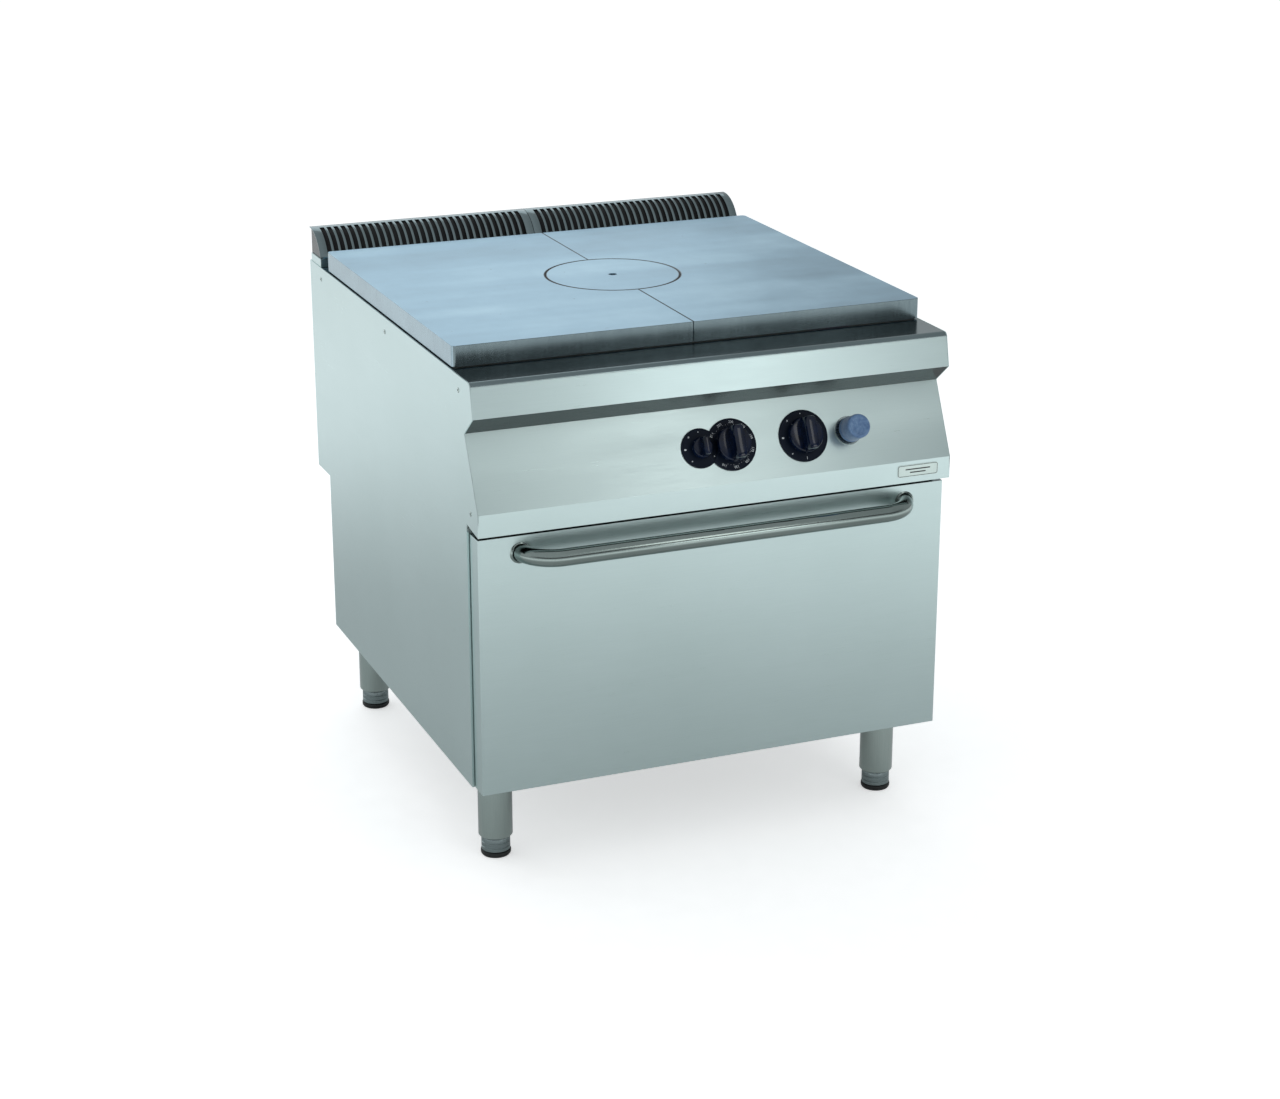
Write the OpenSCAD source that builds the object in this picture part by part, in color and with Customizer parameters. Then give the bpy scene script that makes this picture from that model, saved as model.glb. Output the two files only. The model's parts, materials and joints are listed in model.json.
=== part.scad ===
// Free-standing commercial range: a gas solid top over a gas static oven, 800 mm wide.
// Millimetres. +X right, +Y back, +Z up. Origin on the floor, at the centre of the footprint.

/* [Overall] */
// Width over the side panels
body_w = 800; // [660:10:960]
// Depth from the lip of the control panel to the rear edge
body_d = 900; // [750:10:1080]
// Height of the cooking surface above the floor
top_h = 850; // [700:10:1020]
// Height of the underside above the floor
leg_h = 150; // [125:5:180]

/* [Sheet metal] */
// Thickness of the outer panels
skin_t = 1.5; // [1:0.1:2]
// Thickness of the worktop and control panel sheet
deck_t = 2; // [1.5:0.1:3]
// Width of the folded flanges of the side panels
flange_w = 16; // [12:1:18]
// Outer radius of the worktop's front nose
nose_r = 9; // [6:1:12]
// Height of the worktop's front fascia
fascia_h = 53.5; // [45:0.5:64]
// Distance of the fascia's lower edge behind the lip
fascia_set = 15; // [8:1:22]
// How far the fascia leans back towards its top
fascia_lean = 9.5; // [4:0.5:14]
// Height of the shadow recess under the fascia
recess_h = 31.5; // [26:0.5:38]
// Step in the back for pipes and taps: its depth
service_d = 74; // [60:1:90]
// Height of that step above the floor
service_h = 435; // [360:5:520]

/* [Control panel] */
// Height of the sloping face, measured along the slope
panel_len = 126; // [105:1:150]
// Slope of that face from upright, in degrees
panel_tilt = 25.6; // [20:0.2:30]
// Height of the vertical lip at its foot
lip_h = 36; // [30:1:43]
// Height of the control centres up the slope
control_s = 61; // [56:1:66]
// Sideways place of the oven gas valve
oven_valve_x = -26.4; // [-40:0.2:-20]
// Sideways place of the thermostat
thermostat_x = 26.5; // [24:0.5:34]
// Sideways place of the solid top's gas valve
hob_valve_x = 150; // [130:5:170]
// Sideways place of the igniter
igniter_x = 229; // [215:1:250]
// Radius of the small dial plate
small_dial_r = 31.5; // [28:0.5:36]
// Radius of the large dial plates
large_dial_r = 41.5; // [38:0.5:46]
// Thickness of the dial plates
dial_t = 3; // [2:0.5:4]
// Radius of a gas valve's spindle
spindle_r = 4; // [3:0.5:5]
// Radial running clearance of round moving parts
run_gap = 0.05; // [0.02:0.01:0.1]
// Travel of a gas knob when it is pushed
knob_push = 5; // [3:0.5:6]
// Radius of the large knobs
knob_r = 29; // [26:0.5:33]
// Radius of the small knob
small_knob_r = 17; // [15:0.5:20]
// Height of the large knobs above their base
knob_h = 32; // [26:1:38]
// Travel of the igniter button
igniter_push = 7; // [5:0.5:9]

/* [Solid top] */
// Thickness of the cast plates over their rims
plate_t = 33; // [28:1:40]
// Thickness of the cast plates inside their rims
plate_web = 18; // [15:1:22]
// Depth of the plates, front to back
plate_d = 684; // [560:2:820]
// Margin between the plates and the outer sides
plate_margin = 3.5; // [2.5:0.5:6]
// Distance of the plates' front edge behind the lip
plate_set = 115; // [100:1:135]
// Radius of the plates' upright corners
plate_corner_r = 7; // [4:1:12]
// Gap along the seam of the two plates
seam_gap = 1; // [0.6:0.1:2]
// Radius of the lift-out disc
disc_r = 112; // [95:1:130]
// Gap round the disc
disc_gap = 1.6; // [1:0.1:3]
// Radius of the lifting hole in the disc
lift_r = 7; // [5:0.5:9]

/* [Door] */
// Gap between the door and the lip
door_gap = 8.4; // [5:0.2:11]
// Gap between the door and the outer sides
door_side_gap = 4; // [2:0.5:6]
// Thickness of the door
door_t = 35; // [32:1:40]
// Distance of the door's face behind the lip
door_set = 15.3; // [12:0.5:18]
// Gap behind the closed door
door_back_gap = 3.3; // [3:0.1:5]
// Distance of the hinge pin from the door's back and foot
hinge_inset = 6; // [5:0.5:6.5]
// Radius of the handle tube
handle_r = 13.75; // [12:0.25:16]
// Half the handle's width, to the tube's centre
handle_x = 328.5; // [240:0.5:330]
// Distance of the handle bar's centre from the door
handle_out = 44; // [38:1:52]
// Bend radius of the handle tube
handle_bend = 55; // [30:1:56]
// Distance of the handle below the door's top
handle_drop = 28; // [20:1:60]

/* [Oven] */
// Inside width of the oven
cavity_w = 575; // [480:5:590]
// Inside height of the oven above its floor plate
cavity_h = 290; // [180:5:300]
// Inside depth of the oven
cavity_d = 690; // [540:5:700]
// Height of the burner space under the floor plate
burner_space = 58; // [50:1:65]
// Thickness of the insulation
insulation_t = 38; // [25:1:40]
// Number of shelf positions
shelf_count = 3; // [2:1:3]

/* [Legs] */
// Radius of the leg tubes
leg_r = 27.75; // [24:0.25:32]
// Distance of the leg centres from the outer sides
leg_in = 57; // [50:1:65]
// Distance of the front legs behind the lip
leg_front = 113; // [100:1:130]
// Distance of the rear legs ahead of the rear edge
leg_back = 119; // [110:1:130]
// Height of the adjustable foot below the leg tube
foot_h = 34; // [26:1:42]
// Radius of the foot
foot_r = 23.5; // [20:0.5:27]
// Radius of the foot's threaded stem
stem_r = 8; // [6:0.5:10]
// Height adjustment of a foot
foot_travel = 50; // [30:5:50]

/* [Flue] */
// Radius of the curved flue grilles
flue_r = 66; // [58:1:74]
// Number of slots in each grille
slot_count = 30; // [20:1:34]
// Width of a slot
slot_w = 7.9; // [6:0.1:9]

/* [Hidden] */
$fn = 96;
soft = 32;                                   // facets of small round trim
pipe_r = 10.48;                              // half-inch gas pipe
elbow = 2;                                   // how far its elbow fittings stand out
seam = 0.02;                                 // between the sheets that a box is made of
cover_gap = 0.3;                             // between pieces that only lie against each other

handle_proud = handle_out + handle_r - door_set;
front_y = -(body_d + handle_proud) / 2 + handle_proud;
rear_y = front_y + body_d;
half_w = body_w / 2;
in_w = body_w - 2 * skin_t;                  // clear width between the side panels

plate_z = top_h - plate_t;
deck_z = plate_z - deck_t;                   // top of the worktop and the side panels
fascia_z = deck_z - fascia_h;
recess_z = fascia_z - recess_h;
panel_rise = panel_len * cos(panel_tilt);
panel_run = panel_len * sin(panel_tilt);
lip_top_z = recess_z - panel_rise;
lip_z = lip_top_z - lip_h;

fascia_y = front_y + fascia_set;
recess_y = front_y + panel_run;
door_y = front_y + door_set;
door_back_y = door_y + door_t;
shell_y = door_back_y + door_back_gap;       // front edge of the carcass behind the door
frame_y = shell_y + skin_t;                  // front face of the oven's face frame
liner_y = frame_y + deck_t;
drip_rise = 7.5;                             // the lip's underside rises to the back
service_y = rear_y - service_d;

door_w = body_w - 2 * door_side_gap;
door_top_z = lip_z - door_gap;
hinge_y = door_back_y - hinge_inset;
hinge_z = leg_h + hinge_inset;
hinge_x = half_w - 90;

base_z = leg_h + skin_t;                     // underside of the base tray
liner_z = base_z + deck_t + 16;              // underside of the oven liner
liner_t = 1.5;
floor_t = 8;
floor_z = liner_z + liner_t + burner_space;  // underside of the oven's floor plate
cavity_z = floor_z + floor_t;
liner_back = liner_y + cavity_d;

plate_w = body_w - 2 * plate_margin;
plate_y = front_y + plate_set;
plate_back = plate_y + plate_d;
disc_y = plate_y + plate_d / 2;
disc_t = 15;
disc_z = top_h - disc_t;
ledge_w = 12;

post = 30;                                   // chassis post
post_x = half_w - skin_t - post - 2;
box_half_w = post_x - 6;                     // burner box
box_y = plate_y + 35;
box_back = plate_back - 12;
box_h = 172;
box_z = deck_z - box_h;
burner_z = box_z + 62;

// the oven and the step in the back are lower where the burner box leaves less room
oven_h = min(cavity_h, box_z - insulation_t - liner_t - 4 - cavity_z);
cavity_top = cavity_z + oven_h;
step_z = min(service_h, cavity_top - 90);
duct_z = step_z + 35;

flue_y = rear_y - 67;                        // front of the flue rail
flue_back = rear_y - 7;
rail_h = 14;
flue_z = deck_z + rail_h;
arc_y = rear_y - 5;
arc_z = top_h + 24 - flue_r;

leg_x = half_w - leg_in;
leg_places = [[-leg_x, front_y + leg_front], [leg_x, front_y + leg_front],
              [-leg_x, rear_y - leg_back], [leg_x, rear_y - leg_back]];

// places behind the control panel, d deep along its normal
function behind(d) = [front_y + control_s * sin(panel_tilt) + d * cos(panel_tilt),
                      lip_top_z + control_s * cos(panel_tilt) - d * sin(panel_tilt)];
valve_at = behind(40);
rail_at = behind(78);
pipe_x = (cavity_w / 2 + liner_t + insulation_t + post_x) / 2;
inlet_z = 300;
inlet_len = 30;                              // threaded stub behind the carcass
hex_w = 10;

steel = "#b9c6c9";
dark_steel = "#7d8789";
cast = "#9fb8c6";
black = "#14181f";
galvanised = "#a9adae";
brass = "#b99a55";
wool = "#d8d2bd";
brick = "#c9a783";
enamel = "#22252b";
blue_rubber = "#5b7399";

// ---------- helpers ----------

function unit(v) = v / norm(v);
function left_of(v) = [-v[1], v[0]];
function corner(a, b, c, t) =
    let (u = left_of(unit(b - a)), v = left_of(unit(c - b)), n = unit(u + v)) b + n * t / (n * u);
// a path moved t to the left of its own direction
function beside(p, t) =
    let (e = len(p) - 1)
    [for (i = [0:e])
        i == 0 ? p[0] + t * left_of(unit(p[1] - p[0]))
        : i == e ? p[e] + t * left_of(unit(p[e] - p[e - 1]))
        : corner(p[i - 1], p[i], p[i + 1], t)];
function backwards(p) = [for (i = [len(p) - 1:-1:0]) p[i]];
function arc(c, r, a0, a1, n) =
    [for (i = [0:n]) let (a = a0 + (a1 - a0) * i / n) c + r * [cos(a), sin(a)]];

// a (y, z) outline drawn out along X
module along_x(x0, x1) translate([x0, 0, 0]) rotate([90, 0, 90]) linear_extrude(x1 - x0) children();
// sheet metal folded along a (y, z) path
module folded(p, t, x0, x1) along_x(x0, x1) polygon(concat(p, backwards(beside(p, t))));
// a box given by its two corners
module block(a, b) translate(a) cube(b - a);
module both_sides() for (m = [0, 1]) mirror([m, 0, 0]) children();
// a place on the sloping control panel: X sideways, Y up the slope, Z outwards
module on_panel(x, s = control_s)
    translate([x, front_y, lip_top_z]) rotate([90 - panel_tilt, 0, 0]) translate([0, s, 0]) children();
module rod(a, b, r)
    translate(a)
        rotate([0, acos((b - a)[2] / norm(b - a)), atan2((b - a)[1], (b - a)[0])])
            cylinder(r = r, h = norm(b - a));
// bent pipe through a list of points, with ball elbows that stand out by e
module pipe(p, r, e = 0) {
    for (i = [0:len(p) - 2]) rod(p[i], p[i + 1], r);
    for (i = [1:len(p) - 2]) translate(p[i]) sphere(r = r + e);
}
// four upright sheets round a rectangle from (x0, y0) to (x1, y1), outside sizes
module four_walls(x0, x1, y0, y1, z0, z1, t) {
    for (x = [x0, x1 - t]) block([x, y0, z0], [x + t, y1, z1]);
    for (y = [y0, y1 - t]) block([x0 + t + seam, y, z0], [x1 - t - seam, y + t, z1]);
}
// an upright block with rounded corners
module rounded_block(x0, x1, y0, y1, z0, z1, r) {
    block([x0 + r, y0, z0], [x1 - r, y1, z1]);
    block([x0, y0 + r, z0], [x1, y1 - r, z1]);
    for (x = [x0 + r, x1 - r], y = [y0 + r, y1 - r]) translate([x, y, z0]) cylinder(r = r, h = z1 - z0);
}

// ---------- carcass ----------

nose_y = fascia_y + fascia_lean + nose_r;
// the front edge seen from the side: fascia foot up to the worktop
function nose_path(n) = concat([[fascia_y, fascia_z]], arc([nose_y, deck_z - nose_r], nose_r, 180, 90, n));

module side_skin()
    along_x(half_w - skin_t, half_w)
        polygon(concat([[shell_y, leg_h], [shell_y, lip_z + drip_rise], [front_y, lip_z],
                        [front_y, lip_top_z], [recess_y, recess_z]],
                       nose_path(6),
                       [[rear_y, deck_z], [rear_y, step_z], [service_y, step_z],
                        [service_y, leg_h]]));

module side_panel() {
    back = rear_y - skin_t;
    difference() {
        union() {
            side_skin();
            folded([[shell_y, lip_z], [shell_y, leg_h], [service_y - skin_t, leg_h],
                    [service_y - skin_t, step_z + skin_t], [back, step_z + skin_t],
                    [back, deck_z - 10]],
                   skin_t, half_w - skin_t - flange_w, half_w - skin_t);
        }
        for (p = side_screws)
            translate([half_w - 4, p[0], p[1]]) rotate([0, 90, 0]) cylinder(r = 2.2, h = 8, $fn = soft);
    }
}
side_screws = [[front_y + 78, deck_z - 23], [front_y + 454, deck_z - 24],
               [rear_y - 68, deck_z - 21], [front_y + 32, lip_z + 30]];
module side_panel_left() color(steel) mirror([1, 0, 0]) side_panel();
module side_panel_right() color(steel) side_panel();

module back_panel() color(galvanised)
    difference() {
        folded([[service_y, base_z], [service_y, step_z], [rear_y, step_z], [rear_y, deck_z]],
               skin_t, -in_w / 2, in_w / 2);
        // gas inlet and a row of vents above the step
        translate([pipe_x, service_y - 10, inlet_z]) rotate([-90, 0, 0]) cylinder(r = pipe_r + 3, h = 20);
        for (i = [-5:5])
            block([i * 50 - 15, rear_y - 5, duct_z - 22], [i * 50 + 15, rear_y + 5, duct_z - 14]);
    }

module base_tray() color(galvanised)
    difference() {
        union() {
            block([-in_w / 2, liner_y, base_z], [in_w / 2, service_y - skin_t * 2, base_z + deck_t]);
            for (p = leg_places) translate([p[0], p[1], base_z + deck_t]) cylinder(r = leg_boss_r, h = 3);
        }
        for (p = leg_places) translate([p[0], p[1], base_z - 1]) cylinder(r = stem_r + 4, h = 10);
        // combustion air for the oven burner
        for (i = [-4:4])
            block([i * 45 - 15, liner_y + 200, base_z - 1], [i * 45 + 15, liner_y + 212, base_z + 5]);
    }

leg_boss_r = 20;

module chassis_frame() color(galvanised) {
    z0 = base_z + deck_t;
    z1 = deck_z - deck_t;
    y0 = max(liner_y + 2, recess_y + panel_flange + 1);
    y1 = service_y - 2 * skin_t;
    both_sides() {
        for (y = [y0, y1 - post]) block([post_x, y, z0], [post_x + post, y + post, z1]);
        block([post_x, y0 + post, z1 - post], [post_x + post, y1 - post, z1]);
        block([post_x, y0 + post, z0], [post_x + post, y1 - post, z0 + post / 2]);
    }
    block([-post_x, y0, z1 - post], [post_x, y0 + post, z1]);
}

module worktop() color(dark_steel) {
    rear = flue_y - 4;
    folded(concat([[recess_y, recess_z]], nose_path(8), [[plate_y + 30, deck_z]]),
           -deck_t, -in_w / 2, in_w / 2);
    // the rest of the pressing: a rim round the burner box
    difference() {
        block([-in_w / 2, plate_y + 30, deck_z - deck_t], [in_w / 2, rear, deck_z]);
        block([-box_half_w - 2, box_y - 2, deck_z - 5], [box_half_w + 2, box_back + 2, deck_z + 5]);
    }
}

panel_flange = 14;
module control_panel() color(steel)
    difference() {
        folded([[shell_y - 1, lip_z + drip_rise - 0.2], [front_y, lip_z], [front_y, lip_top_z],
                [recess_y, recess_z - 0.05], [recess_y + panel_flange, recess_z - 0.05]],
               -deck_t, -in_w / 2, in_w / 2);
        for (x = [oven_valve_x, thermostat_x, hob_valve_x])
            on_panel(x) translate([0, 0, -20]) cylinder(r = spindle_r + 2, h = 40);
        on_panel(igniter_x) translate([0, 0, -20]) cylinder(r = igniter_body_r, h = 40);
    }

module badge_plate() color("#cdd5d8") {
    x1 = half_w - 22;
    translate([0, front_y, 0]) rotate([90, 0, 0])
        linear_extrude(1) translate([x1 - 72, lip_top_z - 26]) {
            translate([4, 0]) square([64, 20]);
            translate([0, 4]) square([72, 12]);
            for (x = [4, 68], z = [4, 16]) translate([x, z]) circle(r = 4);
        }
}

module panel_screws() color("#c8ced0")
    both_sides()
        for (p = side_screws) translate([half_w, p[0], p[1]]) rotate([0, 90, 0]) {
            translate([0, 0, -screw_len]) cylinder(r = 2.1, h = screw_len, $fn = soft);
            cylinder(r1 = 4.2, r2 = 3.2, h = screw_head, $fn = soft);
        }
screw_len = skin_t + 1.4;
screw_head = 0.8;

// ---------- solid top ----------

module plate_half() {
    x1 = plate_w / 2;
    difference() {
        intersection() {
            rounded_block(-x1, x1, plate_y, plate_back, plate_z, top_h, plate_corner_r);
            block([seam_gap / 2, plate_y - 1, plate_z - 1], [x1 + 1, plate_back + 1, top_h + 1]);
        }
        // hollow underside inside the rim
        block([-1, plate_y + 24, plate_z - 1], [x1 - 24, plate_back - 24, top_h - plate_web]);
        translate([0, disc_y, disc_z]) cylinder(r = disc_r + disc_gap, h = plate_t);
        translate([0, disc_y, plate_z - 1]) cylinder(r = disc_r - ledge_w, h = plate_t + 2);
    }
    // two cast ribs under the web
    for (k = [-1, 1])
        block([x1 / 2 - 100, disc_y + k * 180 - 4, plate_z + 4],
              [x1 - 40, disc_y + k * 180 + 4, top_h - plate_web + 0.5]);
}
module solid_top_left() color(cast) mirror([1, 0, 0]) plate_half();
module solid_top_right() color(cast) plate_half();

module centre_disc() color(cast)
    translate([0, disc_y, disc_z + cover_gap])
        difference() {
            cylinder(r = disc_r, h = disc_t - cover_gap);
            translate([0, 0, -1]) cylinder(r = lift_r, h = disc_t + 2);
        }

module burner_box() color(steel) {
    t = 2;
    x1 = box_half_w;
    floor_top = box_z + t;
    difference() {
        block([-x1, box_y, box_z], [x1, box_back, floor_top]);
        translate([0, disc_y, box_z - 1]) cylinder(r = air_hole_r, h = t + 2);
    }
    difference() {
        four_walls(-x1, x1, box_y, box_back, floor_top + seam, deck_z, t);
        // mixing tube and flue window
        translate([0, box_y - 5, burner_z]) rotate([-90, 0, 0]) cylinder(r = mix_hole_r, h = 20);
        block([-window_x, box_back - 10, window_z], [window_x, box_back + 10, window_z + window_h]);
    }
    // rim that carries the cast plates
    rim_x = plate_w / 2 - 5;
    for (x = [-rim_x, x1 - t])
        block([x, plate_y + 5, deck_z + seam], [x + rim_x - x1 + t, plate_back - 5, plate_z]);
    for (y = [[plate_y + 5, box_y + t], [box_back - t, plate_back - 5]])
        block([-x1 + t + seam, y[0], deck_z + seam], [x1 - t - seam, y[1], plate_z]);
    // spigot to the flue duct
    difference() {
        block([-window_x - t, box_back + seam, window_z - t],
              [window_x + t, duct_front - cover_gap, window_z + window_h + t]);
        block([-window_x, box_back - 1, window_z], [window_x, duct_front + 1, window_z + window_h]);
    }
}
air_hole_r = 60;
mix_hole_r = 24;                             // round the burner's mixing tube
window_x = 150;                              // half the width of the flue window
window_z = box_z + 70;
window_h = 80;
duct_front = flue_y + 3;
duct_back = flue_back - 3;

module refractory_bricks() color(brick) {
    t = 2;
    h = 96;
    thick = 32;
    x1 = box_half_w - t - cover_gap;
    y0 = box_y + t + cover_gap;
    y1 = box_back - t - cover_gap;
    z0 = box_z + t;
    both_sides() block([x1 - thick, y0, z0], [x1, y1, z0 + h]);
    difference() {
        block([-x1 + thick + cover_gap, y0, z0], [x1 - thick - cover_gap, y0 + thick, z0 + h]);
        translate([0, y0 - 5, burner_z]) rotate([-90, 0, 0]) cylinder(r = 26, h = thick + 10);
    }
    block([-x1 + thick + cover_gap, y1 - thick, z0], [x1 - thick - cover_gap, y1, box_z + 68]);
}

module hob_burner() color("#4a4c4e")
    difference() {
        union() {
            translate([0, disc_y, burner_z - 22]) cylinder(r = 88, h = 40);
            translate([0, disc_y, box_z + 2]) cylinder(r = 62, h = burner_z - 22 - box_z - 2);
            // venturi arm to the front
            translate([0, disc_y - 60, burner_z]) rotate([90, 0, 0])
                cylinder(r = 17.5, h = disc_y - 60 - box_y + 12);
            translate([0, box_y - 12, burner_z]) rotate([90, 0, 0]) cylinder(r1 = 17.5, r2 = 23, h = 14);
        }
        translate([0, disc_y, burner_z - 18]) cylinder(r = 82, h = 60);
        translate([0, disc_y - 60, burner_z]) rotate([90, 0, 0]) cylinder(r = 14, h = 600);
    }

module hob_burner_cap() color("#4a4c4e")
    translate([0, disc_y, burner_z + 18])
        difference() {
            union() {
                cylinder(r = 88, h = 6);
                translate([0, 0, 6]) cylinder(r1 = 84, r2 = 60, h = 14);
                translate([0, 0, -8]) cylinder(r = 81, h = 8);
            }
            translate([0, 0, -9]) cylinder(r = 70, h = 13);
            for (i = [0:23]) rotate(i * 15) translate([66, -1.5, -9]) cube([30, 3, 12]);
        }

module hob_pilot() color(brass) {
    x = 104;
    translate([x, disc_y, box_z + 2]) {
        translate([-12, -26, 0]) cube([24, 52, 3]);
        translate([0, 0, 2.9]) cylinder(r = 5, h = 72);
        translate([0, 0, 70]) cylinder(r = 8, h = 9);
        translate([0, 18, 2.9]) cylinder(r = 3, h = 80);
        translate([0, -18, 2.9]) cylinder(r = 3.5, h = 66);
        translate([0, -18, 66]) cylinder(r = 1.2, h = 14, $fn = soft);
    }
}

// ---------- flue ----------

module flue_duct() color(galvanised) {
    t = 1.5;
    x1 = half_w - 20;
    top = deck_z - 0.01;
    block([-x1, duct_front, duct_z], [x1, duct_back, duct_z + t]);
    difference() {
        four_walls(-x1, x1, duct_front, duct_back, duct_z + t + seam, top, t);
        block([-window_x, duct_front - 5, window_z], [window_x, duct_front + 5, window_z + window_h]);
        block([-100, duct_front - 5, oven_flue_z], [100, duct_front + 5, oven_flue_z + 30]);
    }
    // strips that hang it from the flue rail
    for (y = [[flue_y - 1, duct_front - seam], [duct_back + seam, flue_back + 1]])
        block([-x1, y[0], top - t], [x1, y[1], top]);
}
oven_flue_z = max(cavity_top - 42, duct_z + 6);

module flue_rail() color(steel)
    difference() {
        block([-half_w + 1, flue_y, deck_z], [half_w - 1, flue_back, flue_z]);
        block([-half_w + 3, flue_y + 2, deck_z - 1], [half_w - 3, flue_back - 2, flue_z + 1]);
    }

module flue_grille() {
    x0 = 0.4;
    x1 = half_w - 1;
    pitch = (x1 - x0 - 2 * slot_margin) / slot_count;
    centre = [arc_y, arc_z];
    foot_angle = 182 - asin((flue_z - arc_z) / flue_r);
    slot_top = arc_z + flue_r + 5;
    difference() {
        folded(concat([[rear_y, arc_z + flue_r]], arc(centre, flue_r, 90, foot_angle, 12)), skin_t, x0, x1);
        block([x0 - 1, flue_y - 20, arc_z], [x1 + 1, arc_y, flue_z]);
        for (i = [0:slot_count - 1]) let (x = x0 + slot_margin + pitch * (i + 0.5))
            block([x - slot_w / 2, flue_y - 20, flue_z + 5], [x + slot_w / 2, arc_y - 8, slot_top]);
    }
}
slot_margin = 12;                            // plain sheet at each end of a grille
module flue_grille_left() color(steel) mirror([1, 0, 0]) flue_grille();
module flue_grille_right() color(steel) flue_grille();

module flue_end_caps() color(enamel)
    for (x = [-half_w + 3, -2.4, 1.2, half_w - 4.2])
        intersection() {
            translate([x, arc_y, arc_z]) rotate([0, 90, 0]) 
                cylinder(r = flue_r - skin_t - cover_gap, h = 1.2, $fn = 128);
            block([x - 1, flue_y - 9, flue_z], [x + 3, arc_y - 0.5, arc_z + flue_r]);
        }

// ---------- oven ----------

module oven_liner() color(steel) {
    x1 = cavity_w / 2;
    x2 = x1 + liner_t;
    difference() {
        union() {
            block([-x2, liner_y, liner_z], [x2, liner_back + liner_t, cavity_top + liner_t]);
            block([-x2 - 6, liner_y, liner_z], [x2 + 6, liner_y + liner_t, cavity_top + liner_t + 6]);
            block([-102, liner_back, oven_flue_z - 2], [102, duct_front - cover_gap, oven_flue_z + 32]);
        }
        block([-x1, liner_y - 1, liner_z + liner_t], [x1, liner_back, cavity_top]);
        block([-100, liner_back - 1, oven_flue_z], [100, duct_front + 1, oven_flue_z + 30]);
        translate([-x2 - 5, burner_mid_y, oven_burner_z]) rotate([0, 90, 0]) cylinder(r = 20, h = 20);
        translate([-x2 - 5, bulb_y, bulb_z]) rotate([0, 90, 0]) cylinder(r = 3, h = 20, $fn = soft);
        for (i = [-4:4])
            block([i * 45 - 15, liner_y + 200, liner_z - 1], [i * 45 + 15, liner_y + 212, liner_z + 5]);
    }
    // ledges for the floor plate
    both_sides() block([x1 - 14, liner_y + 20, floor_z - 2], [x1, liner_back, floor_z]);
    // feet under the liner
    for (x = [-x1 + 60, x1 - 60], y = [liner_y + 60, liner_back - 80])
        block([x - 15, y, base_z + deck_t], [x + 15, y + 30, liner_z]);
}
oven_burner_z = liner_z + liner_t + 26;
burner_mid_y = liner_y + cavity_d / 2;
bulb_y = liner_y + cavity_d / 2 + 35;
bulb_z = cavity_top - 30;

module oven_insulation() color(wool) {
    x1 = cavity_w / 2 + liner_t;
    x2 = x1 + insulation_t;
    y0 = liner_y + liner_t;
    y1 = liner_back + liner_t + insulation_t * 0.6;
    difference() {
        block([-x2, y0, liner_z + 4], [x2, y1, cavity_top + liner_t + insulation_t]);
        block([-x1, y0 - 1, liner_z], [x1, liner_back + liner_t, cavity_top + liner_t]);
        block([-102, liner_back, oven_flue_z - 2], [102, y1 + 1, oven_flue_z + 32]);
        translate([-x2 - 5, burner_mid_y, oven_burner_z]) rotate([0, 90, 0])
            cylinder(r = 22, h = insulation_t + 20);
        translate([-x2 - 5, bulb_y, bulb_z]) rotate([0, 90, 0])
            cylinder(r = 2, h = insulation_t + 20, $fn = soft);
        // room for the hinge housings
        both_sides() block([hinge_x - 16, y0 - 1, liner_z], [hinge_x + 16, y0 + 30, hinge_z + 110]);
    }
}

module oven_floor_plate() color("#3d3f41") {
    x1 = cavity_w / 2 - 3;
    difference() {
        block([-x1, liner_y + 24, floor_z], [x1, liner_back - 4, cavity_z]);
        // heat slots along both edges
        both_sides() for (i = [0:8])
            block([x1 - 30, liner_y + 60 + i * (cavity_d - 140) / 9, floor_z - 1],
                  [x1 - 20, liner_y + 100 + i * (cavity_d - 140) / 9, cavity_z + 1]);
    }
    for (i = [-4:4])
        block([i * 55 - 3, liner_y + 60, floor_z - 6], [i * 55 + 3, liner_back - 60, floor_z + 0.5]);
}

module oven_burner() color(dark_steel) {
    r = 17;
    y0 = liner_y + 70;
    y1 = liner_back - 70;
    difference() {
        union() {
            translate([0, y0, oven_burner_z]) rotate([-90, 0, 0]) cylinder(r = r, h = y1 - y0);
            translate([0, burner_mid_y, oven_burner_z]) rotate([0, -90, 0]) cylinder(r = 15, h = mix_end);
            for (y = [y0 + 20, y1 - 30])
                block([-12, y, liner_z + liner_t], [12, y + 10, oven_burner_z - r + 3]);
        }
        translate([0, y0 + 2, oven_burner_z]) rotate([-90, 0, 0]) cylinder(r = r - 1.5, h = y1 - y0 - 4);
        translate([-5, burner_mid_y, oven_burner_z]) rotate([0, -90, 0]) cylinder(r = 13.5, h = mix_end);
        for (i = [0:15], a = [-35, 35])
            translate([0, y0 + 25 + i * (y1 - y0 - 50) / 15, oven_burner_z])
                rotate([0, a, 0]) translate([-1.5, -6, r - 5]) cube([3, 12, 10]);
    }
}
mix_end = cavity_w / 2 + liner_t + insulation_t + 2;

shelf_pitch = oven_h / (shelf_count + 1);
runner_x = cavity_w / 2 - 12;
function shelf_z(i) = cavity_z + shelf_pitch * i + 6;
module shelf_runners() color("#c3cacc") {
    y0 = liner_y + 50;
    y1 = liner_back - 40;
    both_sides() {
        for (y = [y0, (y0 + y1) / 2, y1]) {
            translate([runner_x, y, cavity_z + 0.3]) cylinder(r = 3.5, h = oven_h - 30, $fn = soft);
            for (z = [cavity_z + 20, cavity_top - 60])
                translate([runner_x, y, z]) rotate([0, 90, 0]) cylinder(r = 3, h = 12, $fn = soft);
        }
        for (i = [1:shelf_count], dz = [0, 22])
            translate([runner_x - 4, y0 - 10, shelf_z(i) + dz - 4]) rotate([-90, 0, 0])
                cylinder(r = 3, h = y1 - y0 + 20, $fn = soft);
    }
}

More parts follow.
